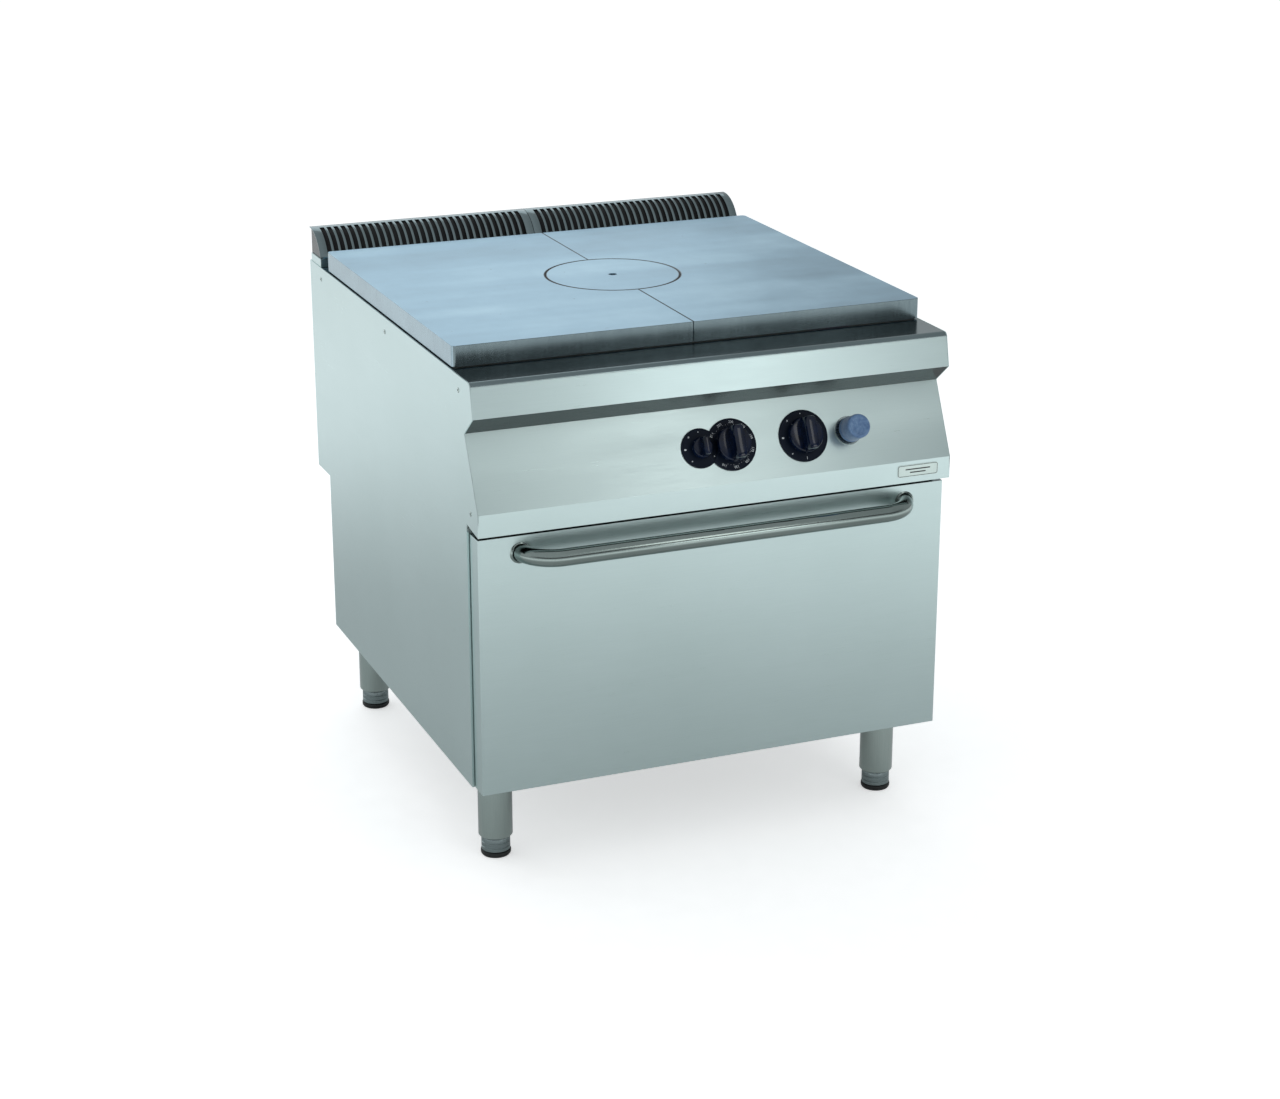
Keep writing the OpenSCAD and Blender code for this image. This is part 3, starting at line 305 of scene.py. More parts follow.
def galvanised_steel():
    """Hot-dip galvanised sheet: zinc crystals as a patchwork of slightly different greys."""
    material, tree, shader, place = start("steel_galvanised")
    spangle = add(tree, "TexVoronoi", {0: place, 2: per_mm(9)}, feature="F1").outputs["Color"]
    grey = add(tree, "SeparateColor", {0: spangle}).outputs[0]
    colour = add(tree, "ValToRGB", {0: grey}, ((0.0, "#98a0a1"), (0.5, "#a3abac"), (1.0, "#afb6b7"))).outputs[0]
    coat(tree, shader, colour, add(tree, "MapRange", {0: grey, 3: 0.34, 4: 0.5}).outputs[0], 0.9)
    bumped(tree, shader, noise(tree, place, 6, 3.0), 0.06, 0.5)
    return material


def aluminised_steel():
    """Aluminium-coated sheet for hot places: flat light grey, blued by heat."""
    material, tree, shader, place = start("steel_aluminised")
    heat = noise(tree, place, 120, 3.0, 0.6)
    colour = add(tree, "ValToRGB", {0: heat}, ((0.3, "#7c8082"), (0.55, "#8e8f8c"), (0.75, "#8a8494"))).outputs[0]
    coat(tree, shader, colour, add(tree, "MapRange", {0: heat, 3: 0.42, 4: 0.58}).outputs[0], 0.85)
    bumped(tree, shader, noise(tree, place, 2.5, 4.0), 0.05, 0.5)
    return material


def black_enamel():
    """Vitreous enamel fired on steel: glassy black with a light orange-peel surface."""
    material, tree, shader, place = start("enamel_black")
    peel = noise(tree, place, 3.0, 3.0)
    colour = add(tree, "ValToRGB", {0: peel}, ((0.3, "#0b0d10"), (0.7, "#15181c"))).outputs[0]
    coat(tree, shader, colour, add(tree, "MapRange", {0: peel, 3: 0.18, 4: 0.3}).outputs[0])
    bumped(tree, shader, peel, 0.08, 0.5)
    return material


def firebrick():
    """Chamotte brick: buff, porous, with darker grog grains."""
    material, tree, shader, place = start("firebrick_chamotte")
    grog = noise(tree, place, 4.0, 5.0, 0.7)
    colour = add(tree, "ValToRGB", {0: grog}, ((0.3, "#a78560"), (0.55, "#c9a980"), (0.8, "#dcc5a2"))).outputs[0]
    coat(tree, shader, colour, 0.92)
    bumped(tree, shader, grog, 0.6)
    return material


def mineral_wool():
    """Mineral wool blanket: matted fibres, yellowish grey."""
    material, tree, shader, place = start("mineral_wool")
    fibre = noise(tree, place, 2.2, 5.0, 0.7, (12, 12, 1))
    colour = add(tree, "ValToRGB", {0: fibre}, ((0.3, "#a59c80"), (0.7, "#cfc7ab"))).outputs[0]
    coat(tree, shader, colour, 0.95)
    bumped(tree, shader, fibre, 0.9)
    return material


def glass_rope():
    """Braided glass-fibre rope: off-white, with the braid's slanting strands."""
    material, tree, shader, place = start("glass_fibre_rope")
    laid = add(tree, "Mapping", {0: place, 2: (0.7, 0.7, 0.7)})
    braid = add(tree, "TexWave", {0: laid.outputs[0], 1: per_mm(5.0), 2: 1.5, 3: 2.0}).outputs[1]
    colour = add(tree, "ValToRGB", {0: braid}, ((0.2, "#a9a596"), (0.8, "#dcd8ca"))).outputs[0]
    coat(tree, shader, colour, 0.9)
    bumped(tree, shader, braid, 0.4)
    return material


def chromed_wire():
    """Chromium plating on drawn wire: a near mirror with a faint draw mark."""
    material, tree, shader, place = start("chrome_on_wire")
    draw = noise(tree, place, 1.5, 3.0)
    colour = add(tree, "ValToRGB", {0: draw}, ((0.3, "#c2c8ca"), (0.7, "#d8dddf"))).outputs[0]
    coat(tree, shader, colour, add(tree, "MapRange", {0: draw, 3: 0.08, 4: 0.18}).outputs[0], 1.0)
    bumped(tree, shader, draw, 0.01, 0.4)
    return material


def black_phenolic():
    """Phenolic moulding, blue-black and glossy, with the faint waviness of a moulded face."""
    material, tree, shader, place = start("phenolic_moulded")
    wave = noise(tree, place, 14, 2.0)
    fine = noise(tree, place, 0.8, 2.0)
    colour = add(tree, "ValToRGB", {0: wave}, ((0.3, "#040c1c"), (0.7, "#0a1832"))).outputs[0]
    coat(tree, shader, colour, add(tree, "MapRange", {0: fine, 3: 0.07, 4: 0.13}).outputs[0])
    shader.inputs["IOR"].default_value = 1.5
    shader.inputs["Specular IOR Level"].default_value = 0.35
    bumped(tree, shader, wave, 0.05, 0.4)
    return material


def dial_lacquer():
    """Black stoving lacquer on a pressed plate: even and nearly matt, with a fine pebbled skin."""
    material, tree, shader, place = start("lacquer_black_matt")
    pebble = noise(tree, place, 0.7, 3.0)
    colour = add(tree, "ValToRGB", {0: pebble}, ((0.3, "#050c1a"), (0.7, "#0b1829"))).outputs[0]
    coat(tree, shader, colour, add(tree, "MapRange", {0: pebble, 3: 0.42, 4: 0.56}).outputs[0])
    shader.inputs["Specular IOR Level"].default_value = 0.16
    bumped(tree, shader, pebble, 0.03, 0.5)
    return material


def soot_and_shade_steel():
    """Steel inside a flue: matt black soot with browner patches where it has flaked; the same black is also put as
    painted shade in the joints of the top and behind the flue slots.
    """
    material, tree, shader, place = start("steel_soot_and_painted_shade")
    soot_and_shade = noise(tree, place, 25, 5.0, 0.65)
    colour = add(tree, "ValToRGB", {0: soot_and_shade}, ((0.35, "#0b0c0d"), (0.65, "#17191b"), (0.85, "#2a2622"))).outputs[0]
    coat(tree, shader, colour, 0.85)
    bumped(tree, shader, soot_and_shade, 0.2)
    return material


def painted_light_iron_edge(name="cast_iron_edge_painted_shade", dark="#616e72", light="#768488"):
    """The sawn and fettled edge of the casting: smoother than its ground top, with upright marks, and by default
    painted darker as painted shade, for the front where less light falls.
    """
    material, tree, shader, place = start(name)
    marks = noise(tree, place, 3.0, 3.0, 0.6, (1, 1, 12))
    cloud = noise(tree, place, 120, 3.0, 0.6)
    tone = add(tree, "Mix", {0: 0.6, 2: marks, 3: cloud}).outputs[0]
    colour = add(tree, "ValToRGB", {0: tone}, ((0.35, dark), (0.65, light))).outputs[0]
    coat(tree, shader, colour, add(tree, "MapRange", {0: tone, 1: 0.3, 2: 0.7, 3: 0.19, 4: 0.27}).outputs[0], 0.95)
    bumped(tree, shader, marks, 0.02, 0.2)
    return material


def lit_iron_flank():
    """The casting's two long sides, milled true: painted paler than the front, as painted light falling on the sides.
    """
    return painted_light_iron_edge("cast_iron_flank_painted_light", "#8799a2", "#a0b3bc")


def printed_white():
    """Screen-printed epoxy ink, a little broken at its edges."""
    material, tree, shader, place = start("ink_screen_printed")
    grain = noise(tree, place, 0.4, 2.0)
    colour = add(tree, "ValToRGB", {0: grain}, ((0.3, "#b9c0c6"), (0.6, "#dfe4e7"))).outputs[0]
    coat(tree, shader, colour, 0.5)
    bumped(tree, shader, grain, 0.02)
    return material


def blue_silicone():
    """Moulded silicone rubber: slate blue, matt, dusty where fingers have polished and soiled it."""
    material, tree, shader, place = start("silicone_rubber_moulded")
    dust = noise(tree, place, 6.0, 5.0, 0.65)
    colour = add(tree, "ValToRGB", {0: dust}, ((0.3, "#43618a"), (0.55, "#5a7aa0"), (0.8, "#7b97b6"))).outputs[0]
    coat(tree, shader, colour, add(tree, "MapRange", {0: dust, 3: 0.42, 4: 0.62}).outputs[0])
    shader.inputs["Sheen Weight"].default_value = 0.25
    bumped(tree, shader, noise(tree, place, 0.9, 4.0), 0.06, 0.6)
    return material


def black_nylon():
    """Injection-moulded nylon: black, fine matt texture, scuffed near the floor."""
    material, tree, shader, place = start("nylon_moulded")
    scuff = noise(tree, place, 5.0, 4.0, 0.6)
    colour = add(tree, "ValToRGB", {0: scuff}, ((0.35, "#101112"), (0.7, "#232527"))).outputs[0]
    coat(tree, shader, colour, add(tree, "MapRange", {0: scuff, 3: 0.38, 4: 0.6}).outputs[0])
    bumped(tree, shader, noise(tree, place, 0.7, 3.0), 0.05, 0.6)
    return material


def gas_brass():
    """Hot-pressed brass, dulled by handling."""
    material, tree, shader, place = start("brass_pressed")
    tarnish = noise(tree, place, 12, 4.0, 0.6)
    colour = add(tree, "ValToRGB", {0: tarnish}, ((0.3, "#8c6b30"), (0.6, "#b8954f"), (0.8, "#c9a863"))).outputs[0]
    coat(tree, shader, colour, add(tree, "MapRange", {0: tarnish, 3: 0.25, 4: 0.45}).outputs[0], 1.0)
    bumped(tree, shader, noise(tree, place, 1.2, 4.0), 0.04, 0.5)
    return material


def copper_pipe():
    """Soft copper pipe, browned along the bends."""
    material, tree, shader, place = start("copper_drawn")
    brown = noise(tree, place, 30, 4.0, 0.6)
    colour = add(tree, "ValToRGB", {0: brown}, ((0.3, "#7d4a2c"), (0.55, "#b06f45"), (0.8, "#c98a5c"))).outputs[0]
    coat(tree, shader, colour, add(tree, "MapRange", {0: brown, 3: 0.25, 4: 0.45}).outputs[0], 1.0)
    bumped(tree, shader, brown, 0.05, 0.5)
    return material


def dark_ink():
    """Black stoving ink on a metal plate."""
    material, tree, shader, place = start("ink_stoved_black")
    grain = noise(tree, place, 0.5, 2.0)
    colour = add(tree, "ValToRGB", {0: grain}, ((0.3, "#1c2123"), (0.7, "#2f3537"))).outputs[0]
    coat(tree, shader, colour, 0.4)
    bumped(tree, shader, grain, 0.02)
    return material


def floor_paper():
    """The studio's white background paper, which the metal sees darker close to the object, as in its own shade."""
    material, tree, shader, place = start("background_paper")
    tooth = noise(tree, place, 40, 3.0)
    paper = add(tree, "ValToRGB", {0: tooth}, ((0.3, "#f4f4f4"), (0.7, "#fafafa"))).outputs[0]
    reach = add(tree, "VectorMath", {0: place}, operation="LENGTH").outputs["Value"]
    away = add(tree, "MapRange", {0: reach, 1: 0.4, 2: 3.2, 3: 0.0, 4: 1.0}).outputs[0]
    shaded = add(tree, "ValToRGB", {0: away}, [(spot, (0.96 * v, v, v, 1)) for spot, v in (
        (0.0, 0.62), (0.28, 0.6), (0.42, 0.7), (0.64, 0.95))]).outputs[0]
    seen = add(tree, "LightPath").outputs["Is Camera Ray"]
    colour = add(tree, "Mix", {0: seen, 6: shaded, 7: paper}, data_type="RGBA").outputs[2]
    coat(tree, shader, colour, 0.9)
    # Painted light: the paper glows, evenly to the camera, and to the metal more strongly far from the object and
    # less towards the back.
    shader.inputs["Emission Color"].default_value = (1, 1, 1, 1)
    lit = add(tree, "ValToRGB", {0: away}, [(spot, (v, v, v, 1)) for spot, v in (
        (0.0, 0.15), (0.28, 0.18), (0.42, 0.3), (0.6, 0.58), (0.8, 0.8))]).outputs[0]
    depth = add(tree, "SeparateXYZ", {0: place}).outputs[1]
    dimmed = add(tree, "MapRange", {0: depth, 1: -0.5, 2: 0.8, 3: 1.0, 4: 0.5}).outputs[0]
    behind = add(tree, "Math", {0: lit, 1: dimmed}, operation="MULTIPLY").outputs[0]
    glow = add(tree, "Mix", {0: seen, 2: behind, 3: 0.52}).outputs[0]
    tree.links.new(glow, shader.inputs["Emission Strength"])
    return material


MATERIALS = {
    "satin_stainless": satin_panel_steel,
    "deck": deck_steel,
    "recess": shaded_underside_steel,
    "handle": darkened_handle_steel,
    "flank": lit_iron_flank,
    "polished_stainless": tube_steel,
    "machined_steel": turned_steel,
    "ground_cast_iron": ground_cast_iron,
    "raw_cast_iron": raw_cast_iron,
    "galvanised_steel": galvanised_steel,
    "aluminised_steel": aluminised_steel,
    "black_enamel": black_enamel,
    "firebrick": firebrick,
    "mineral_wool": mineral_wool,
    "glass_rope": glass_rope,
    "chromed_wire": chromed_wire,
    "black_bakelite": black_phenolic,
    "blue_silicone": blue_silicone,
    "black_nylon": black_nylon,
    "gas_brass": gas_brass,
    "copper_pipe": copper_pipe,
    "ink": printed_white,
    "dial": dial_lacquer,
    "soot_and_shade": soot_and_shade_steel,
    "rim": painted_light_iron_edge,
    "enamel_ink": dark_ink,
}
made_materials = {}


def finish_of(name):
    if name not in made_materials:
        made_materials[name] = MATERIALS[name]()
    return made_materials[name]


# ---------------------------------------------------------------- making pieces

def piece(name, bm, node, finish=None, smooth=35):
    """Turns a bmesh into a piece that rides with a CAD node's body and takes its finish."""
    bmesh.ops.recalc_face_normals(bm, faces=bm.faces)
    mesh = bpy.data.meshes.new(name)
    bm.to_mesh(mesh)
    bm.free()
    made = bpy.data.objects.new(name, mesh)
    SCENE.collection.objects.link(made)
    mesh.materials.append(finish_of(finish or SLOTS[node]))
    mesh.shade_smooth()
    mesh.set_sharp_from_angle(angle=math.radians(smooth))
    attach(made, BODY_OF[node])
    return made


def softened(node, width, finish=None, steps=2, smooth=35):
    """A CAD node's own shape with its sheared and folded edges rounded by width millimetres."""
    bm = bmesh.new()
    bm.from_mesh(frame["nodes"][node].data)
    bmesh.ops.remove_doubles(bm, verts=bm.verts, dist=0.005 * MM)
    bmesh.ops.dissolve_limit(bm, angle_limit=math.radians(0.5), verts=bm.verts, edges=bm.edges)
    made = piece(node + "_piece", bm, node, finish, smooth)
    edge = made.modifiers.new("edge", "BEVEL")
    edge.width = width * MM
    edge.segments = steps
    edge.limit_method = "ANGLE"
    edge.angle_limit = math.radians(smooth)
    edge.harden_normals = True
    flat = made.modifiers.new("flat", "WEIGHTED_NORMAL")
    flat.keep_sharp = True
    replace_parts(made, node)
    return made


def refinish(made, finish, facing):
    """Gives another finish to the faces of a piece whose normal passes a test."""
    made.data.materials.append(finish_of(finish))
    for face in made.data.polygons:
        if facing(face.normal):
            face.material_index = len(made.data.materials) - 1


def lathe(bm, profile, place, sides=64):
    """Spins an (r, h) profile in millimetres about a place matrix's Z axis, closing it where r is 0."""
    rings = []
    for r, h in profile:
        if r == 0:
            rings.append([bm.verts.new(place @ Vector((0, 0, h * MM)))])
            continue
        turns = [2 * math.pi * i / sides for i in range(sides)]
        rings.append([bm.verts.new(place @ Vector((r * MM * math.cos(a), r * MM * math.sin(a), h * MM)))
                      for a in turns])
    for low, high in zip(rings, rings[1:]):
        for i in range(sides):
            j = (i + 1) % sides
            corners = [low[i % len(low)], low[j % len(low)], high[j % len(high)], high[i % len(high)]]
            bm.faces.new(list(dict.fromkeys(corners)))
    return bm


def rounded(r, h, radius, steps=5):
    """Profile points round a lathe corner at (r, h), from the side up onto the top."""
    return [(r - radius + radius * math.cos(a), h - radius + radius * math.sin(a))
            for a in (math.pi / 2 * i / steps for i in range(steps + 1))]


def flat_shape(bm, outline, place, height):
    """A thin raised shape from an outline in millimetres."""
    low = [bm.verts.new(place @ Vector((x * MM, y * MM, 0))) for x, y in outline]
    high = [bm.verts.new(place @ Vector((x * MM, y * MM, height * MM))) for x, y in outline]
    bm.faces.new(high)
    bm.faces.new(list(reversed(low)))
    count = len(outline)
    for i in range(count):
        j = (i + 1) % count
        bm.faces.new([low[i], low[j], high[j], high[i]])


def tube(name, points, radius, node, sides=32, finish=None):
    """A round bar or pipe along a smooth list of points."""
    data = bpy.data.curves.new(name, "CURVE")
    data.dimensions = "3D"
    data.bevel_depth = radius
    data.bevel_resolution = sides // 4
    data.use_fill_caps = True
    line = data.splines.new("POLY")
    line.points.add(len(points) - 1)
    for spot, p in zip(line.points, points):
        spot.co = (*p, 1)
    curve = bpy.data.objects.new(name, data)
    SCENE.collection.objects.link(curve)
    bpy.context.view_layer.update()
    mesh = bpy.data.meshes.new_from_object(curve.evaluated_get(bpy.context.evaluated_depsgraph_get()))
    bpy.data.objects.remove(curve)
    bm = bmesh.new()
    bm.from_mesh(mesh)
    return piece(name, bm, node, finish)


# ---------------------------------------------------------------- the range

DIAL = 3                     # thickness of a dial plate
KNOB_BASE = DIAL + 6         # a knob's skirt above the panel, which leaves room to push it in
SLOPE = math.radians(25.6)   # of the control panel, from upright
CONTROL_ROW = 61             # the controls' line, up the slope from the lip
LIP_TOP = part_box("control_panel")[0].z + 36 * MM
SIDE_FACE = 400 * MM         # outer face of a side panel
FLUE_RADIUS = 66 * MM        # of the flue covers
FLUE_SLOTS = 30              # in each flue cover
SLOT_HALF = 3.95 * MM        # half a slot's width
FLUE_MARGIN = 12 * MM        # plain sheet at each end of a flue cover
HANDLE_BEND = 55 * MM        # centre-line radius of the handle's bends
PIPE_X, INLET_Z = 346.75 * MM, 300 * MM


def on_panel(node, height=0.0):
    """A frame on the sloping panel at a control's centre: X sideways, Y up the slope, Z outwards."""
    low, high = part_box(node)
    side, up = Vector((1, 0, 0)), Vector((0, math.sin(SLOPE), math.cos(SLOPE)))
    out = side.cross(up)
    middle = Vector(((low.x + high.x) / 2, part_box("control_panel")[0].y, LIP_TOP)) + up * CONTROL_ROW * MM
    turned = Matrix((side, up, out)).transposed().to_4x4()
    return Matrix.Translation(middle + out * height * MM) @ turned


def grip_bar(bm, place, half_x, half_y, foot, height, sides=72):
    """The upright grip of a knob: straight flanks, round ends and a slightly crowned front."""
    levels = ((1, 1, 0), (0.97, 0.99, 0.4), (0.92, 0.97, 0.75), (0.87, 0.955, 0.88), (0.78, 0.93, 0.95),
              (0.6, 0.87, 0.985), (0.3, 0.7, 1.0))
    rings = []
    for sx, sy, level in levels:
        ring = []
        for i in range(sides):
            a = 2 * math.pi * (i + 0.5) / sides
            c, s = math.cos(a), math.sin(a)
            x = half_x * sx * math.copysign(abs(c) ** 0.4, c)
            y = half_y * sy * math.copysign(abs(s) ** 0.5, s)
            z = foot + (height - foot) * level
            ring.append(bm.verts.new(place @ (Vector((x, y, z)) * MM)))
        rings.append(ring)
    for low, high in zip(rings, rings[1:]):
        for i in range(sides):
            j = (i + 1) % sides
            bm.faces.new([low[i], low[j], high[j], high[i]])
    bm.faces.new(rings[-1])


def knob(node, r, height, grip):
    """A moulded gas knob: a round skirt with a grip across it."""
    place = on_panel(node, KNOB_BASE)
    skirt = height * 0.28
    bm = bmesh.new()
    lathe(bm, [(0, 0), (r - 0.8, 0), (r, 0.8), (r - 0.2, 2.2)] + rounded(r - 1.2, skirt, 2.0)
          + [(grip * 0.75, skirt + 0.6), (0, skirt + 0.7)], place, 96)
    grip_bar(bm, place, grip / 2, r - 2.2, skirt - 1, height - 0.1)
    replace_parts(piece(node + "_moulding", bm, node, smooth=30), node)


def dial_plate(node, discs):
    """A black dial plate with a thin raised rim, in one or two joined rounds."""
    bm = bmesh.new()
    for x, r in discs:
        place = on_panel(node)
        place.translation.x = x * MM
        lathe(bm, [(0, 0.05), (r - 0.4, 0.05)] + rounded(r, DIAL, 1.1) + [(r - 2.6, DIAL), (r - 3.0, DIAL - 0.4),
              (0, DIAL - 0.4)], place, 128)
    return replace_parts(piece(node + "_plate", bm, node, "dial"), node)


def ring_place(node, x, r, clock, turn=0.0):
    """A place on a dial at a clock angle in degrees, anticlockwise from the right, with its Y pointing outwards."""
    place = on_panel(node, DIAL - 0.38)
    place.translation.x = x * MM
    a = math.radians(clock)
    return place @ Matrix.Translation((r * MM * math.cos(a), r * MM * math.sin(a), 0)) @ \
        Matrix.Rotation(a - math.pi / 2 + turn, 4, "Z")


def numeral(body, place, size):
    """Screen-printed figures, centred on a place."""
    data = bpy.data.curves.new(body, "FONT")
    data.body = body
    data.size = size * MM
    data.align_x, data.align_y = "CENTER", "CENTER"
    data.extrude = 0.06 * MM
    data.resolution_u = 3
    written = bpy.data.objects.new(body, data)
    SCENE.collection.objects.link(written)
    bpy.context.view_layer.update()
    mesh = bpy.data.meshes.new_from_object(written.evaluated_get(bpy.context.evaluated_depsgraph_get()))
    mesh.transform(place)
    bpy.data.objects.remove(written)
    return mesh


FLAME = [(0, 2.6), (0.9, 1.3), (1.5, 0.1), (1.3, -1.2), (0.6, -2.0), (-0.6, -2.0), (-1.3, -1.2), (-1.4, 0.1),
         (-0.7, 1.0)]
BAR = [(-0.3, -2.2), (0.3, -2.2), (0.3, 2.2), (-0.3, 2.2)]


def dot(r, sides=16):
    return [(r * math.cos(2 * math.pi * i / sides), r * math.sin(2 * math.pi * i / sides)) for i in range(sides)]


def print_dials(node, x_small, x_large, r_large):
    """The marks on the dials: off dots, pilot stars, flames, and degrees on the thermostat."""
    bm = bmesh.new()
    height = 0.12

    def mark(outline, x, r, clock, turn=0.0):
        flat_shape(bm, outline, ring_place(node, x, r, clock, turn), height)

    gas_x, gas_r = (x_small, 25.5) if x_small is not None else (x_large, 35.5)
    mark(dot(0.9), gas_x, gas_r, 90)
    for turn in (0, math.pi / 3, 2 * math.pi / 3):
        mark([(x * 0.8, y * 0.8) for x, y in BAR], gas_x, gas_r, 132, turn)
    mark(FLAME, gas_x, gas_r, 180, math.pi)
    mark([(x * 0.6, y * 0.6) for x, y in FLAME], gas_x, gas_r, 228, math.pi)
    if x_small is not None:
        mark(dot(0.8), x_large, r_large, 205)
        for i in range(9):
            clock = 240 + 33.75 * i
            bm.from_mesh(numeral(str(110 + 20 * i), ring_place(node, x_large, r_large, clock), 5.6))
            if i < 8:
                for share in (1, 2, 3):
                    r_dot = r_large - (3.5 if share == 2 else 3.2)
                    mark(dot(0.35), x_large, r_dot, clock + 33.75 * share / 4)
    else:
        mark(BAR, gas_x, gas_r, 270)
    piece(node + "_print", bm, node, "ink", smooth=60)


def slotted_grille(node, flip):
    """The curved flue cover: one sheet rolled to a quarter round and punched with upright slots."""
    low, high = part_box(node)
    radius, sheet = FLUE_RADIUS, 1.5 * MM
    axis_y, axis_z = high.y - 5 * MM, high.z - radius
    near, far = (low.x, high.x) if not flip else (-high.x, -low.x)
    pitch = (far - near - 2 * FLUE_MARGIN) / FLUE_SLOTS
    columns = [near]
    for i in range(FLUE_SLOTS):
        middle = near + FLUE_MARGIN + pitch * (i + 0.5)
        columns += [middle - SLOT_HALF, middle + SLOT_HALF]
    columns.append(far)
    foot = math.pi - math.asin((low.z - axis_z) / radius)
    first = math.pi - math.asin((low.z + 5 * MM - axis_z) / radius)
    last = math.pi - math.acos(8 * MM / radius)
    turns = [foot] + [first + (last - first) * i / 24 for i in range(25)] + [math.radians(93), math.pi / 2]
    rows = [(axis_y + radius * math.cos(a), axis_z + radius * math.sin(a)) for a in turns] + [(high.y, high.z)]
    bm = bmesh.new()
    side = -1 if flip else 1
    grid = [[bm.verts.new((side * x, y, z)) for x in columns] for y, z in rows]
    for r, c in product(range(len(rows) - 1), range(len(columns) - 1)):
        punched = c % 2 == 1 and 1 <= r <= 24
        if not punched:
            bm.faces.new([grid[r][c], grid[r][c + 1], grid[r + 1][c + 1], grid[r + 1][c]])
    bmesh.ops.recalc_face_normals(bm, faces=bm.faces)
    if sum(f.normal.z for f in bm.faces) < 0:
        bmesh.ops.reverse_faces(bm, faces=bm.faces)
    made = piece(node + "_sheet", bm, node, "deck", smooth=50)
    thick = made.modifiers.new("sheet", "SOLIDIFY")
    thick.thickness = sheet
    thick.offset = -1
    edge = made.modifiers.new("edge", "BEVEL")
    edge.width = 0.3 * MM
    edge.segments = 2
    edge.limit_method = "ANGLE"
    edge.angle_limit = math.radians(50)
    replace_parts(made, node)
    # Painted shade: a black sheet just inside the cover, so the slots read as the shadowed flue behind them.
    behind = bmesh.new()
    inner = radius - 3 * MM
    ends = (low.x + 4 * MM, 0.0) if flip else (0.0, high.x - 4 * MM)
    rows = [(axis_y + inner * math.cos(a), axis_z + inner * math.sin(a)) for a in turns[2:]]
    strip = [[behind.verts.new((x, y, z)) for x in ends] for y, z in rows + [(high.y - 1 * MM, axis_z + inner)]]
    for one, two in zip(strip, strip[1:]):
        behind.faces.new([one[0], one[1], two[1], two[0]])
    shade_sheet = piece(node + "_shade_sheet", behind, "flue_duct", "soot_and_shade")
    shade_sheet.modifiers.new("sheet", "SOLIDIFY").thickness = sheet


def islands(node):
    """The box of each separate solid of a CAD node."""
    bm = bmesh.new()
    bm.from_mesh(frame["nodes"][node].data)
    bmesh.ops.remove_doubles(bm, verts=bm.verts, dist=0.005 * MM)
    left, boxes = set(bm.verts), []
    while left:
        group, edge = set(), [next(iter(left))]
        while edge:
            v = edge.pop()
            if v in group:
                continue
            group.add(v)
            edge += [e.other_vert(v) for e in v.link_edges]
        left -= group
        boxes.append((Vector([min(v.co[k] for v in group) for k in range(3)]),
                      Vector([max(v.co[k] for v in group) for k in range(3)])))
    bm.free()
    return sorted(boxes, key=lambda b: tuple(b[0]))


def side_screws():
    """Domed screws with a hexagon socket."""
    bm = bmesh.new()
    for low, high in islands("panel_screws"):
        sign = 1 if high.x > 0 else -1
        middle = Vector((SIDE_FACE * sign, (low.y + high.y) / 2, (low.z + high.z) / 2))
        place = Matrix.Translation(middle) @ Matrix.Rotation(sign * math.pi / 2, 4, "Y")
        lathe(bm, [(0, -2), (4.2, -0.2), (4.2, 0.15), (3.9, 0.45), (3.2, 0.68), (2.4, 0.78), (1.7, 0.78)], place, 32)
        lathe(bm, [(1.7, 0.78), (1.7, -0.6), (0, -0.6)], place, 6)
    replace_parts(piece("panel_screw_heads", bm, "panel_screws"), "panel_screws")


def legs():
    """Four tubes with a chamfered plug, each over a turned foot on a moulded pad."""
    bm = bmesh.new()
    for low, high in islands("leg_tubes"):
        place = Matrix.Translation(((low.x + high.x) / 2, (low.y + high.y) / 2, 0))
        r = (high.x - low.x) / 2 / MM
        top = high.z / MM
        lathe(bm, [(8.2, 34), (r - 2.2, 34), (r - 1.8, 34.2), (r - 0.2, 36), (r, 36.4), (r, top), (r - 1.5, top),
                   (r - 1.5, 60)], place, 96)
    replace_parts(piece("leg_tubes_drawn", bm, "leg_tubes", "polished_stainless"), "leg_tubes")
    for name in ("front_left", "front_right", "rear_left", "rear_right"):
        low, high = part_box("pad_" + name)
        place = Matrix.Translation(((low.x + high.x) / 2, (low.y + high.y) / 2, 0))
        bm = bmesh.new()
        lathe(bm, [(0, 9), (21.5, 9), (22.6, 9.4), (23.4, 10.5), (23.4, 16), (22.9, 16.5), (23.4, 17), (23.4, 24),
                   (22.9, 24.5), (23.4, 25), (23.2, 32.4), (22.4, 33.6), (8, 33.6), (8, 110), (0, 110)], place, 80)
        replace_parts(piece("foot_turned_" + name, bm, "foot_" + name), "foot_" + name)
        bm = bmesh.new()
        lathe(bm, [(0, 0), (21, 0), (22.5, 0.5), (24.2, 3), (24.5, 4)] + rounded(24.5, 9, 1.2) + [(0, 9)], place, 80)
        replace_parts(piece("pad_moulded_" + name, bm, "pad_" + name), "pad_" + name)


def handle():
    """One tube bent at both ends and welded to the door."""
    low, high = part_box("door_handle")
    r = (high.z - low.z) / 2
    bend = HANDLE_BEND
    end_x, bar_y, z = high.x - r, low.y + r, (low.z + high.z) / 2
    points = []
    for side in (-1, 1):
        arc = [Vector((side * (end_x - bend + bend * math.cos(a)), bar_y + bend - bend * math.sin(a), z))
               for a in (math.pi / 2 * i / 16 for i in range(17))]
        run = [Vector((side * end_x, high.y, z))] + arc
        points += run if side < 0 else run[::-1]
    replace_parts(tube("door_handle_bar", points, r, "door_handle", finish="handle"), "door_handle")
    bm = bmesh.new()
    for side in (-1, 1):
        place = Matrix.Translation((side * end_x, high.y, z)) @ Matrix.Rotation(math.pi / 2, 4, "X")
        lathe(bm, [(13.4, 3.2), (13.9, 2.2), (14.6, 1.2), (15.8, 0.5), (17, 0.02)], place, 64)
    piece("handle_weld_fillets", bm, "door_handle", "handle", smooth=60)


